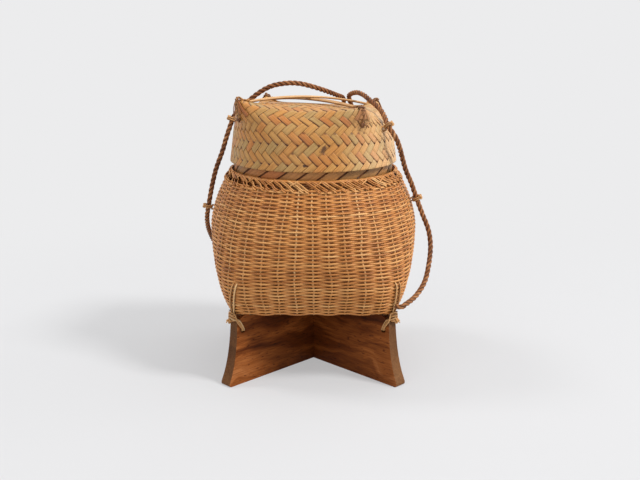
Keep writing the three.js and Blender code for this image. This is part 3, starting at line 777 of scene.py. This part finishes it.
def lid_surface(angle, half_width, z):
    """The lid's outside, with its ears, its sides that sag between them and its leaning crown."""
    share = np.clip((z - LID_MOUTH_Z) / LID_RISE, 0, 1)
    shift = CROWN_SHIFT * smooth(past_shoulder(z))
    inward = np.minimum(1, half_width / LID_EDGE)
    near_edge = (smooth(1 - (1 - share) / CROWN_SAG_SHARE)
                 * smooth(1 - (1 - inward) / CROWN_SAG_SHARE))
    lift = -CROWN_SIDE_SAG * np.cos(2 * angle) ** 2 * near_edge
    push = 0
    for ear_angle, rise in EARS.values():
        turn = np.abs((angle - math.radians(ear_angle) + np.pi) % TURN - np.pi)
        near = np.maximum(0, 1 - turn / EAR_SPREAD)
        ear = rise * MM * near ** 1.5 * smooth((share - 0.7) / 0.3) * inward ** 6
        lift = lift + ear
        push = push + EAR_PUSH * np.minimum(1, ear / MM)
    power = 2 + (LID_SQUARENESS - 2) * share ** LID_SQUARENESS
    reach = half_width * square_stretch(angle, power) + push
    x, y = np.cos(angle) * reach, np.sin(angle) * reach
    lean = (CROWN_LEAN_X * x + CROWN_LEAN_Y * y) * share ** 2
    return np.stack([x - shift, y, z + lift - lean], -1)


def plate_faces(n, m):
    """A closed plate: an n by m grid of points, the same again under it, and a rim between."""
    size = n * m
    index = np.arange(size).reshape(n, m)
    faces = []
    for i in range(n - 1):
        for j in range(m - 1):
            face = (index[i, j], index[i + 1, j], index[i + 1, j + 1], index[i, j + 1])
            faces += [face, tuple(size + k for k in reversed(face))]
    rim = [*index[:, 0], *index[-1, 1:], *index[-2::-1, -1], *index[0, -2:0:-1]]
    faces += [(w, v, v + size, w + size) for v, w in zip(rim, rim[1:] + rim[:1])]
    return faces


# Twill: each strip goes over two and under two
TONES = [0.1, 0.3, 0.45, 0.6, 0.78]  # most strips are tan, some orange and a few greenish grey
TONE_SHARES = [0.14, 0.24, 0.3, 0.22, 0.1]
STRIP_GRAIN = 6 * MM


class Twill:
    """Numbers along a face and down it are in strips, and a float is one stretch of a strip on top
    of the others. A pinched twill has more points, and most at its corners."""

    def __init__(self, cells, rise, thickness, gap=0.02, shade=0.7, pinched=False, facing=1,
                 spread=0.05):
        self.cells, self.rise, self.thickness, self.gap = cells, rise, thickness, gap
        self.shade, self.pinched, self.facing = shade, pinched, facing
        kinds = random.choice(TONES, size=(2, cells * 4), p=TONE_SHARES)
        self.tones = kinds + spread * random.normal(size=(2, cells * 4))
        self.dots = True
        self.strands = Strands()

    def place(self, p, q):
        """A point of the lattice of strips, by numbers across the two ways, and its normal."""
        s, d = (p + q) / 2, (q - p) / 2
        step = 0.03
        across = self.surface(s + step, d) - self.surface(s - step, d)
        up = self.surface(s, d - step) - self.surface(s, d + step)
        return self.surface(s, d), unit(np.cross(across, up)) * self.facing

    def float(self, along_x, start, length, strip, number, fine=False):
        """along_x says which of the two ways the strip leans."""
        inner = np.linspace(0.2, length - 0.2, 3 + 6 * fine)
        if self.pinched and not fine:
            inner = np.array([0.2, 0.5, *inner[1:-1], length - 0.5, length - 0.2])
        along = np.array([-0.3, -0.1, *inner, length + 0.1, length + 0.3])
        middle = np.linspace(0.16, 0.84, 4 if self.pinched else 2)
        across = np.array([self.gap, 0.09, *middle, 0.91, 1 - self.gap])
        a, b = np.meshgrid(along, across, indexing="ij")
        inside = np.minimum(a, length - a)
        rise = self.rise * smooth((inside + 0.24) / 0.42)
        rise = rise - self.rise * 0.2 * (np.abs(b - 0.5) / 0.5) ** 4
        p, q = (start + a, strip + b) if along_x else (strip + b, start + a)
        points, out = self.place(p, q)
        top = points + out * rise[..., None]
        bottom = top - out * self.thickness
        faces = plate_faces(*a.shape)
        ahead, aside = top[1, 0] - top[0, 0], top[0, 1] - top[0, 0]
        if np.dot(np.cross(ahead, aside), out[0, 0]) < 0:
            faces = [tuple(reversed(face)) for face in faces]
        tones = self.tones[0 if along_x else 1]
        tone = tones[math.floor(number) % len(tones)] + 0.11 * random.normal()
        deep = self.darkness(along_x, a, b, inside, length)
        grain = np.stack([a * STRIP_GRAIN + start * STRIP_GRAIN, b * STRIP_GRAIN,
                          np.full(a.shape, number * 3.7)], -1)
        # Each plate's underside gets strong painted shade
        self.strands.add(
            np.concatenate([top.reshape(-1, 3), bottom.reshape(-1, 3)]), faces, tone,
            np.concatenate([deep.ravel(), np.full(a.size, 0.9)]),
            np.concatenate([grain.reshape(-1, 3)] * 2))

    def darkness(self, along_x, a, b, inside, length):
        """Painted shade: dark where a float dives, down its shaded side, and in the holes at its ends."""
        side = 0.4 * smooth((b - 0.88) / 0.06) if along_x else smooth((0.2 - b) / 0.1)
        deep = np.maximum(smooth(-inside / 0.24), random.uniform(0.5, 1.1) * side)
        lower = smooth(1.4 - np.abs(a - length + 0.1) / 0.28) * smooth((0.4 - b) / 0.18)
        upper = smooth(1 - np.abs(a - 0.12) / 0.3) * smooth((b - 0.64) / 0.2)
        dot = np.maximum(random.uniform(0.7, 1.8) * lower, (random.random() < 0.3) * upper)
        return np.clip(np.maximum(self.shade * deep, self.dots * (not along_x) * dot), 0, 1)

    def ring(self, walls, top, bottom):
        """All the floats whose middles lie between two depths of the walls, right round."""
        def surface(s, d):
            side = np.floor(s / self.cells)
            return walls(side, 2 * (s - side * self.cells) / self.cells - 1, d)

        self.surface = surface
        for strip in range(self.cells * 4):
            for k in range(-40, 40):
                for along_x, middle in ((True, 0.25 + 2 * k), (False, 1.25 + 2 * k)):
                    if top <= middle < bottom:
                        start = strip - 1 - 4 * k if along_x else strip + 2 + 4 * k
                        self.dots = middle > 1.5
                        fine = self.at_corner((start + 1 + strip + 0.5) / 2, middle)
                        number = strip if along_x else strip + 0.5
                        self.float(along_x, start, 2, strip, number, fine)

    def at_corner(self, along, depth):
        corner = abs((along / self.cells + 0.5) % 1 - 0.5) * self.cells
        return self.pinched and (corner < 2.2 and depth < 3 or depth < 1)

    def x_on_top(self, i, j):
        """Whether the strip that leans along x lies on top, by squares about the crown's middle."""
        x, y = i + 0.5, j + 0.5
        return ((abs(x) + abs(y) - self.cells) % 4 < 2) == (x * y < 0)

    def crown(self, plane):
        """The floats of a flat square, in squares about its middle."""
        half = self.cells // 2
        limit = self.cells + 2
        self.dots = False
        self.surface = lambda s, d: plane(s, -d)
        for along_x in (True, False):
            for strip in range(-limit, limit):
                run = None
                for k in range(-limit, limit + 1):
                    on_top = k < limit and self.x_on_top(strip, k) == along_x
                    if on_top and run is None:
                        run = k
                    if not on_top and run is not None:
                        middle = (run + k) / 2
                        x = abs(middle + strip + 0.5) / 2
                        y = abs(middle - strip - 0.5) / 2
                        if max(x, y) < half:
                            edge = max(x, y) > half - 1.2 or min(x, y) > half - 3
                            self.float(along_x, run, k - run, strip, strip + 60, self.pinched and edge)
                        run = None

    def cover(self, skin, bottom):
        """Walls down to a depth and the crown or floor that they run into, on one skin."""
        half = self.cells / 2

        def plane(x, y):
            x, y = np.broadcast_arrays(np.asarray(x, float), np.asarray(y, float))
            angle = np.arctan2(y, x)
            side = np.round((angle + QUARTER) / QUARTER)
            share = np.clip(np.tan(angle + QUARTER - side * QUARTER), -1, 1)
            return skin(side, share, np.maximum(np.abs(x), np.abs(y)))

        def walls(side, share, depth):
            below = skin(side, share, half + np.maximum(depth, 0))
            x, y = share * half, -half - np.minimum(depth, 0)
            c, s = np.cos(side * QUARTER), np.sin(side * QUARTER)
            return np.where((depth > 0)[..., None], below, plane(c * x - s * y, s * x + c * y))

        self.ring(walls, 0, bottom)
        self.crown(plane)


# The lid's skin and lining
LID_CELLS = 14
LID_HALF = LID_CELLS / 2
LID_CELL_HEIGHT = 8.25 * MM
LID_ROWS = 8
LID_CROWN_REACH = LID_EDGE + 0.4 * MM
LID_CUT_Z = LID_MOUTH_Z + 0.3 * MM
FLOAT_RISE = 0.9 * MM
LINING_SINK = 2.15 * MM
lid_z = np.linspace(LID_CROWN_Z, LID_MOUTH_Z - 4 * MM, 300)
lid_far = profile_far(lid_z, lid_half_width(lid_z))


def lid_skin(sink):
    """The lid's skin at a depth, by its side, a share of it and strips from the crown's middle."""
    def skin(side, share, far):
        radial = np.where(far > LID_HALF, LID_CROWN_REACH + (far - LID_HALF) * LID_CELL_HEIGHT,
                          LID_CROWN_REACH * far / LID_HALF)
        inward = np.minimum(radial / LID_EDGE, 1)
        z = np.interp(radial - LID_EDGE, lid_far, lid_z)
        square = smooth((z - LID_MOUTH_Z) / LID_RISE)
        turn = (1 - square) * share * np.pi / 4 + square * np.arctan(share)
        angle = (side - 1) * QUARTER + turn
        half_width = np.where(inward < 1, LID_EDGE * inward, lid_half_width(z)) - sink * inward
        dome = CROWN_DOME * (1 - inward ** 2)
        return lid_surface(angle, half_width, z - sink * smooth(past_shoulder(z)) + dome)

    return skin


def lid_piece(twill, name, material, slot, node):
    piece = twill.strands.mesh(name, material)
    cut_off(piece, LID_CUT_Z, above=False)
    declare_on_lid(piece, slot, node)


lid_twill = Twill(LID_CELLS, FLOAT_RISE, 0.5 * MM, shade=0.9, pinched=True)
lid_twill.cover(lid_skin(FLOAT_RISE), LID_ROWS)
lid_piece(lid_twill, "lid_weave", bamboo, "bamboo", "lid_shell")


def turned_shell(name, profile, surface, sides=96):
    """A closed shell: its profile of (half width, height) starts and ends on the axis."""
    angle = full_turn(sides)
    rings = [surface(angle, np.full(sides, a), np.full(sides, z)) for a, z in profile[1:-1]]
    tips = [surface(np.zeros(1), np.zeros(1), np.full(1, profile[end][1])) for end in (0, -1)]
    faces = ring_faces(len(rings), sides)
    for tip, ring in enumerate((0, len(rings) - 1)):
        faces += [(len(rings) * sides + tip, ring * sides + k, ring * sides + (k + 1) % sides)
                  for k in range(sides)]
    # Shells take the dark stuff under the weaves: painted shade for the gaps between strips
    piece = mesh_object(name, np.concatenate([*rings, *tips]), faces, shade_under_weave)
    bm = bmesh.new()
    bm.from_mesh(piece.data)
    bmesh.ops.recalc_face_normals(bm, faces=bm.faces)
    bm.to_mesh(piece.data)
    bm.free()
    return piece


def lid_profile(sink):
    """The lid's profile at a depth under its skin, from the mouth up to the crown's middle."""
    side = [(float(lid_half_width(z)) - sink, z - sink * float(smooth(past_shoulder(z))))
            for z in np.linspace(LID_MOUTH_Z + 0.8 * MM, LID_CROWN_Z, 20)]
    crown = [((LID_EDGE - sink) * m, LID_CROWN_Z - sink + CROWN_DOME * (1 - m * m))
             for m in (0.93, 0.86, 0.79, 0.72, 0.5, 0.25, 0)]
    return [(LID_MOUTH - sink, LID_MOUTH_Z + 0.1 * MM), *side, *crown]


lid_core = turned_shell(
    "lid_core", [*reversed(lid_profile(2.0 * MM)), *lid_profile(1.15 * MM)], lid_surface)
declare_on_lid(lid_core, "bamboo")
lining_twill = Twill(LID_CELLS, 0.75 * MM, 0.4 * MM, pinched=True, facing=-1)
lining_twill.cover(lid_skin(LINING_SINK), LID_ROWS)
lid_piece(lining_twill, "lining_weave", lining_bamboo, "lining_bamboo", "lid_lining")


# The inner basket: its neck outside, and its whole inside
def neck_half_width(z):
    return lid_half_width(z + LID_THICKNESS) - LID_THICKNESS - LID_PLAY


NECK_REACH = float(neck_half_width(LID_MOUTH_Z))
NECK_CELLS = 6
NECK_CELL = 13.0 * MM
NECK_CUT_Z = NECK_TOP_Z - 0.3 * MM
NECK_DEPTH = 0.8 * MM
INNER_CELLS = 10
INNER_HALF = INNER_CELLS / 2
INNER_CELL_HEIGHT = 14.0 * MM
INNER_DEPTH = 0.85 * MM
INNER_ROWS = 12
INNER_FLOOR_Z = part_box("inner_basket")[0].z + 1.6 * MM


def inner_half_width(z, depth):
    wall = body_half_width(z) - LINING_INSET
    neck = np.where(z < LID_MOUTH_Z, NECK_REACH, neck_half_width(z))
    share = np.clip((z - SHOULDER_Z) / (NECK_START_Z - SHOULDER_Z), 0, 1)
    return (1 - share) * wall + share * neck - depth


neck_z = np.linspace(NECK_TOP_Z + 6.2 * MM, NECK_START_Z - 4 * MM, 300)
neck_far = profile_far(neck_z, inner_half_width(neck_z, NECK_DEPTH))
inner_z = np.linspace(INNER_FLOOR_Z, NECK_TOP_Z + 5 * MM, 400)
inner_half = inner_half_width(inner_z, INNER_DEPTH)
inner_far = profile_far(inner_z, inner_half)


def neck_walls(side, share, down):
    z = np.interp(down * NECK_CELL, neck_far, neck_z)
    z = np.where(down < 0, neck_z[0] - down * NECK_CELL, z)
    return on_side(side, share, z, inner_half_width(z, NECK_DEPTH))


def inner_skin(side, share, far):
    """The inside, by its side, a share of it and strips from the floor's middle."""
    up = np.maximum(far - INNER_HALF, 0) * INNER_CELL_HEIGHT
    z = np.interp(up, inner_far, inner_z) - INNER_DEPTH * (far < INNER_HALF)
    half_width = np.where(
        far > INNER_HALF, np.interp(up, inner_far, inner_half), float(inner_half[0]) * far / INNER_HALF)
    return on_side(side, share, z, np.maximum(half_width, 1e-6))


neck_twill = Twill(NECK_CELLS, 0.75 * MM, 0.35 * MM, gap=0.075, shade=0.9, spread=0.1)
neck_twill.ring(neck_walls, -1, neck_far[-1] / NECK_CELL + 0.6)
neck_weave = neck_twill.strands.mesh("neck_weave", neck_bamboo)
cut_off(neck_weave, NECK_CUT_Z, above=True)
cut_off(neck_weave, NECK_START_Z - 3 * MM, above=False)
turn_piece(neck_weave, math.radians(-4))
declare(neck_weave, "lining_bamboo", "basket", "inner_basket")

inside_twill = Twill(INNER_CELLS, 0.7 * MM, 0.35 * MM)
inside_twill.cover(inner_skin, INNER_ROWS)
inside_weave = inside_twill.strands.mesh("inside_weave", lining_bamboo)
cut_off(inside_weave, NECK_CUT_Z, above=True)
declare(inside_weave, "lining_bamboo", "basket")


def body_surface(angle, half_width, z):
    reach = half_width * square_stretch(angle, body_squareness(z))
    return np.stack([np.cos(angle) * reach, np.sin(angle) * reach, z], -1)


def bowl(name, half, low, high, floor_z, top_z):
    """A thin closed bowl between two depths of a wall, under the weave."""
    def profile(depth, bottom_z):
        edge = float(half(bottom_z + 3 * MM, depth))
        walls = [(float(half(z, depth)), z) for z in np.linspace(bottom_z + 3 * MM, top_z, 34)]
        return [(0, bottom_z), (edge - 3 * MM, bottom_z), (edge - 0.9 * MM, bottom_z + 0.9 * MM), *walls]

    outside, inside = profile(low, floor_z), profile(high, floor_z + high - low)
    return turned_shell(name, [*outside, *reversed(inside)], body_surface, 128)


declare(bowl("inner_core", inner_half_width, 0.72 * MM, 0.9 * MM, INNER_FLOOR_Z - 1.0 * MM,
             NECK_TOP_Z - 0.4 * MM), "lining_bamboo", "basket")
declare(bowl("outer_core", lambda z, depth: body_half_width(z) - depth, 2.5 * MM, 3.2 * MM,
             BODY_BASE_Z + 0.9 * MM, BODY_TOP_Z), "wicker", "basket")


# A strand closes the neck's edge
neck_edge = Strands()
edge_reach = float(inner_half_width(np.array(NECK_TOP_Z - 1 * MM), NECK_DEPTH))
edge_line = outward(full_turn(160)) * edge_reach + UP * (NECK_TOP_Z - 0.75 * MM)
neck_edge.tube(edge_line, UP, 0.8 * MM, 0.7 * MM, 0.5 + ripple(160, 30, 0.15), sides=8, closed=True)
declare(neck_edge.mesh("neck_edge", lining_bamboo), "lining_bamboo", "basket")

# The outer basket's floor, seen from below
FLOOR_CELLS = 14
FLOOR_CELL = (BODY_BASE - 1.5 * MM) / (FLOOR_CELLS / 2)
floor_twill = Twill(FLOOR_CELLS, 0.65 * MM, 0.35 * MM)
floor_twill.crown(lambda x, y: np.stack([
    x * FLOOR_CELL, -y * FLOOR_CELL, np.full(x.shape, BODY_BASE_Z + 0.7 * MM)], -1))
declare(floor_twill.strands.mesh("outer_floor", lining_bamboo), "wicker", "basket")

# The plaited rim: pairs of strands that lean over rings, and some that lean the other way
BRAID_LOW, BRAID_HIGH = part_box("rim_braid")
BRAID_REACH = BRAID_HIGH.x - 3.3 * MM
BRAID_Z = (BRAID_LOW.z + BRAID_HIGH.z) / 2
BORDER_STRANDS = 70
BORDER_STEP = TURN / BORDER_STRANDS
BORDER_RINGS = ((-0.9, 3.3), (0.2, 2.9), (-1.7, 1.9), (-1.2, 0.2), (-0.7, -1.6), (0.2, -3.2))
plait = Strands()


def on_rows(up):
    """How far out the wall's rows lie from the border's ring at a height, both in mm."""
    return (float(body_half_width(BRAID_Z + up * MM)) - BRAID_REACH) / MM


def border_strand(start, steps, half_width, tone, span):
    """A strand from its start angle along the border: (share of the span, outward, up) in mm."""
    points = []
    for share, reach, up in steps:
        away = outward(start + BORDER_STEP * span * share)
        points.append(away * (BRAID_REACH + reach * MM) + UP * (BRAID_Z + up * MM))
    centres = along_curve(points, 1.1 * MM)
    out = unit(centres * LEVEL + UP * 0.03)
    plait.tube(centres, out, half_width, 0.5 * MM, tone, groove=0.8)


for number in range(BORDER_STRANDS):
    start = number * BORDER_STEP + 0.014 * random.normal()
    tone = 0.5 + 0.17 * random.normal()
    span = 2.1 + 0.5 * random.random()
    for half in (-0.5, 0.5):
        push = 0.2 * random.normal()
        lift = half * 1.7 + 0.12 * random.normal()
        border_strand(start, [
            (0, -1.8, 1.4), (0.1, -0.9, 3.0 + 0.2 * lift), (0.24, 0.5 + push, 3.0 + 0.6 * lift),
            (0.42, 1.2 + push, 1.3 + lift), (0.64, 1.5 + push, -1.0 + lift),
            (0.84, on_rows(-3.0 + lift) + 0.5, -3.0 + lift),
            (0.95, on_rows(-4.3 + lift) + 0.2, -4.3 + lift),
            (1, on_rows(-4.8 + lift) - 1.4, -4.8 + lift)], 0.78 * MM, tone, span)
    if number % 3 == 1:
        border_strand(start, [
            (0, -0.2, -3.9), (0.3, 1.2, -2.0), (0.6, 1.7, 0.4), (0.85, 1.2, 2.4), (1, -0.6, 3.9)],
            0.7 * MM, 0.7 + 0.2 * random.normal(), 1.8)
ring_out = outward(full_turn(240))
for reach, height in BORDER_RINGS:
    wander = ripple(240, 20, 0.22 * MM)[:, None] * UP
    line = ring_out * (BRAID_REACH + reach * MM) + UP * (BRAID_Z + height * MM) + wander
    # The lower rings, under the leaning strands, get painted shade
    plait.tube(line, ring_out + UP * 0.6, 0.95 * MM, 0.8 * MM,
               0.4 + ripple(240, 20, 0.15), 0.7 * (height < 2.5), closed=True)
declare(plait.mesh("rim_plait", cane), "rattan", "basket", "rim_braid")

# Corner stakes, in pairs, and the lashings that tie them to the boards
BOARD_CORNER = 101.97 * MM
HOLE_REACH = 95.47 * MM
HOLE_Z = 51 * MM
STAKE_RISE = 32 * MM
KNOT_Z = 60.4 * MM

# How far each corner's stakes lean on their way up, in the spacings of the body's stakes
CORNER_LEANS = {"front_left": 0.5, "front_right": -0.08, "back_right": 0.4, "back_left": -0.4}


def corner_stakes(corner):
    """Two stakes side by side that lean, and whose tops go in under the rows."""
    pair = Strands()
    first = STAKES_A_SIDE * list(CORNER_LEANS).index(corner)
    height = np.linspace(BODY_BASE_Z - 4.5 * MM, BODY_BASE_Z + STAKE_RISE, 26)
    rise = np.clip((height - BODY_BASE_Z) / STAKE_RISE, 0, 1)
    lie = (0.75 - 1.9 * smooth((rise - 0.9) / 0.1))[:, None] * MM
    for aside in (-0.11, 0.11):
        number = first + CORNER_LEANS[corner] * rise + aside * (0.45 + 0.55 * smooth(rise / 0.35))
        line = body_place(number, np.maximum(height, BODY_BASE_Z + 0.5 * MM))
        out = body_normals(number, np.maximum(height, BODY_BASE_Z + 1 * MM))
        line[:, 2] = height
        pair.tube(line + out * lie, out, 0.85 * MM, 0.8 * MM, 0.4 + 0.2 * random.normal(), sides=8,
                  groove=0.8)
    declare(pair.mesh("stakes_" + corner, pale_cane), "rattan", "basket", "corner_stake_" + corner)


def corner_lashing(corner, angle):
    """Three strands through the board's hole and round the stakes, bound by four turns."""
    out = outward(math.radians(angle))

    def at(reach, aside, z):
        return out * reach + np.cross(UP, out) * aside + UP * z

    lash = Strands()
    for number, stake_z in enumerate((63.0 * MM, 65.6 * MM, 68.4 * MM)):
        spread = (number - 1) * 1.1 * MM
        half = [
            (HOLE_REACH + spread, 0, HOLE_Z), (HOLE_REACH + spread, 5.4 * MM, HOLE_Z + 0.3 * MM),
            (HOLE_REACH + 1.3 * MM + spread, 6.2 * MM, HOLE_Z + 2.6 * MM),
            (HOLE_REACH + 3.4 * MM + 1.4 * spread, 5.8 * MM, HOLE_Z + 6.4 * MM),
            (BOARD_CORNER - 0.6 * MM + 1.2 * spread, 5.1 * MM, HOLE_Z + 10.4 * MM),
            (BOARD_CORNER + 1.6 * MM, 3.6 * MM, stake_z - 0.8 * MM),
            (BOARD_CORNER + 2.7 * MM, 1.4 * MM, stake_z)]
        loop = [at(r, a, z) for r, a, z in half]
        loop += [at(r, -a, z + 0.5 * MM) for r, a, z in reversed(half)]
        lash.through(loop, 1.15 * MM, 0.6 * MM, 0.5 + 0.25 * random.normal(), groove=0.4)
    for height in (61.4, 63.1, 64.9, 66.6):
        ring = np.array([at(BOARD_CORNER + 0.6 * MM + 2.0 * MM * math.cos(t),
                            (2.5 + 0.3 * random.normal()) * MM * math.sin(t),
                            (height + 0.5 * math.sin(t + height)) * MM) for t in full_turn(20)])
        lash.tube(ring, unit(ring - ring.mean(0)), 0.9 * MM, 0.55 * MM, 0.35 + 0.2 * random.normal(),
                  closed=True, groove=0.6)
    aside = -3.0 * MM if corner in ("front_left", "back_right") else 3.0 * MM
    knot = at(BOARD_CORNER + 2.6 * MM, aside, KNOT_Z)
    lash.knot(knot, 2.2 * MM, 0.8 * MM, Vector(at(1, aside / MM * 0.2, -0.1)).normalized(), 0.25)
    for stub in range(2):
        tip = at(BOARD_CORNER + (4.2 + 1.6 * stub) * MM, aside * (1.9 - 0.7 * stub),
                 (58.2 + 2.8 * stub) * MM)
        lash.through([knot, (knot + tip) / 2 + UP * 0.7 * MM, tip], 0.6 * MM, 0.5 * MM, 0.5)
    declare(lash.mesh("lashing_" + corner, pale_cane), "rattan", "basket", "foot_lashing_" + corner)


for corner, (angle, _) in EARS.items():
    corner_stakes(corner)
    corner_lashing(corner, angle)


def cord_ring(name, centre):
    """A loop that holds the cord: two turns round it, both ends in the wall, and a knot outside."""
    number = route.index(centre)
    ahead = (route[number + 1] - route[number - 1]).normalized()
    out = Vector((centre.x, centre.y, 0)).normalized()
    out = (out - ahead * out.dot(ahead)).normalized()
    aside = ahead.cross(out)
    points = [centre - out * 7.4 * MM - ahead * 1.4 * MM + aside * 1.2 * MM]
    for turn in np.linspace(0.92 * np.pi, 5.08 * np.pi, 34):
        along = (turn / TURN - 1.5) * 1.7 * MM
        points.append(centre + 3.55 * MM * (out * math.cos(turn) + aside * math.sin(turn))
                      + ahead * along)
    points.append(centre - out * 7.4 * MM + ahead * 1.4 * MM - aside * 1.2 * MM)
    ring = Strands()
    ring.through(points, 0.85 * MM, 0.7 * MM, 0.3, groove=0.5)
    ring.knot(centre + out * 3.9 * MM, 1.9 * MM, 1.0 * MM, out, 0.35)
    body = "lid" if name.startswith("lid") else "basket"
    declare(ring.mesh("ring_" + name, pale_cane), "rattan", body, name)


for name in ("shoulder_loop_left", "shoulder_loop_right", "lid_loop_left", "lid_loop_right"):
    cord_ring(name, loop_centres[name])

# The lid's corners: a tie over the ear and down the ridge, and the strips' ends that it binds
TIE_LIE = 0.5 * MM
TIE_DROP = 11.5 * MM
TIE_STEP = 0.7 * MM
TIE_LAY = 6.5 * MM
HORN_DROP = 8 * MM


def lid_tie(ear, angle):
    """Two strands twisted together, with a knot at each end, three wraps and two loose ends."""
    line = [lid_surface(angle, LID_EDGE * share, LID_CROWN_Z + CROWN_DOME * (1 - share ** 2))
            for share in (0.86, 0.94, 1)]
    line += [lid_surface(angle, lid_half_width(z), z)
             for z in (LID_CROWN_Z - TIE_DROP * share for share in (0.2, 0.45, 0.73, 1))]
    line = along_curve(line, TIE_STEP)
    level = outward(angle)
    ahead = unit(np.gradient(line, axis=0))
    out = unit(UP * (ahead @ level)[:, None] - level * ahead[:, 2:])
    aside = np.cross(ahead, out)
    number = np.arange(len(line))
    turn = number * TIE_STEP / TIE_LAY * TURN
    tie = Strands()
    for phase in (0, np.pi):
        away = around(out, aside, turn + phase)
        wander = aside * (1.1 * MM * np.sin(number * 0.2 + phase * 0.8))[:, None]
        tie.tube(line + out * TIE_LIE + away * 0.5 * MM + wander, away, 0.62 * MM, 0.5 * MM,
                 0.45 + 0.3 * random.normal(), groove=0.5)
    low = line[-1] + out[-1] * 1.2 * MM
    tie.knot(low, 1.8 * MM, 0.8 * MM, out[-1], 0.1)
    tie.knot(line[0] + out[0] * 1.0 * MM, 1.3 * MM, 0.6 * MM, out[0], 0.9)
    round_it = full_turn(24)[:, None]
    for share in (0.44, 0.53, 0.64):
        at = int(share * len(line))
        loop = line[at] - out[at] * 1.3 * MM + (
            out[at] * np.cos(round_it) * 2.4 * MM + aside[at] * np.sin(round_it) * 3.1 * MM
            + ahead[at] * np.sin(round_it * 2 + share * 20) * 0.5 * MM)
        tie.tube(loop, unit(loop - loop.mean(0)), 0.75 * MM, 0.55 * MM, 0.35 + 0.3 * random.normal(),
                 closed=True, groove=0.4)
    loose = -1 if ear == "front_right" else 1
    for reach, drop, tone in ((9, 1.5, 0.75), (6, -2.5, 0.35)):
        end = low + aside[-1] * loose * reach * MM + UP * drop * MM + out[-1] * 0.9 * MM
        between = (low + end) / 2 + out[-1] * 1.2 * MM + UP * 1.2 * MM
        tie.through([low, between, end], 0.6 * MM, 0.45 * MM, tone)
    return tie


def lid_horn(angle, rise):
    """Four strips drawn together up the ear."""
    level = outward(angle)
    horn = Strands()
    for degrees in (-9, -3, 3, 9):
        lean = degrees * min(1, rise / 6)
        path = []
        for share, drop in ((1, HORN_DROP), (0.6, 4.5 * MM), (0.3, 1.8 * MM), (0.08, 0.2 * MM)):
            z = LID_CROWN_Z - drop
            path.append(lid_surface(angle + math.radians(lean * share), float(lid_half_width(z)), z))
        path.append(path[-1] + UP * 1.4 * MM + level * 0.3 * MM)
        centres = along_curve(path, 1 * MM)
        facing = level + np.cross(UP, level) * lean * 0.06
        horn.tube(centres + level * 0.5 * MM, facing, np.linspace(2.2, 0.7, len(centres)) * MM,
                  0.35 * MM, 0.95 + 0.1 * random.normal(), 0.3, groove=0.6)
    return horn


for ear, (degrees, rise) in EARS.items():
    tie = lid_tie(ear, math.radians(degrees))
    horn = lid_horn(math.radians(degrees), rise)
    declare_on_lid(horn.mesh("horn_" + ear, bamboo), "bamboo")
    declare_on_lid(tie.mesh("tie_" + ear, dark_tie), "dark_tie", "lid_tie_" + ear)

# Splints that bow across the crown from corner to corner, the upper pair over the lower
UPPER_BOW = 4.8 * MM
LOWER_BOW = UPPER_BOW - 1.8 * MM
SPLINT_END_SHARE = 0.78


def splint_end(ear):
    dome = CROWN_DOME * (1 - SPLINT_END_SHARE ** 2)
    return lid_surface(
        math.radians(EARS[ear][0]), LID_EDGE * SPLINT_END_SHARE, LID_CROWN_Z + dome)


def splint(name, start, end, bow, side):
    sideways = np.cross(UP, unit((end - start) * LEVEL))
    share = np.linspace(-0.05, 1.05, 42)
    height = 1.35 * MM + bow * 4 * share * (1 - share)
    line = start + (end - start) * share[:, None]
    line = line + sideways * side * (1.9 * MM - 0.6 * MM * np.abs(2 * share - 1) ** 3)[:, None]
    line = line + UP * height[:, None]
    line = line + sideways * (0.35 * MM * np.sin(5 * share + side + bow * 900))[:, None]
    taper = 1 - 0.35 * np.abs(2 * share - 1) ** 4
    strand = Strands()
    strand.tube(line, UP, 1.6 * MM * taper, 1.1 * MM, 0.5 + 0.2 * random.normal(), sides=8,
                groove=0.5)
    declare_on_lid(strand.mesh("splint_" + name, pale_cane), "rattan", "lid_splint_" + name)


for layer, first, second, bow in (("upper", "front_left", "back_right", UPPER_BOW),
                                  ("lower", "back_left", "front_right", LOWER_BOW)):
    for letter, side in (("a", -1), ("b", 1)):
        splint(f"{layer}_{letter}", splint_end(first), splint_end(second), bow, side)

# Foot boards: the solids as they are, with eased edges and grain along each board
for node, turn in (("foot_board_lower", -math.pi / 4), ("foot_board_upper", math.pi / 4)):
    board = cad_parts[node]
    board.data.materials.clear()
    board.data.materials.append(wood_material(node + "_wood", turn))
    weld = board.modifiers.new("weld", "WELD")
    weld.merge_threshold = 0.01 * MM
    bevel = board.modifiers.new("bevel", "BEVEL")
    bevel.width = 0.6 * MM
    bevel.segments = 2
    bevel.limit_method = "ANGLE"
    bevel.angle_limit = math.radians(35)
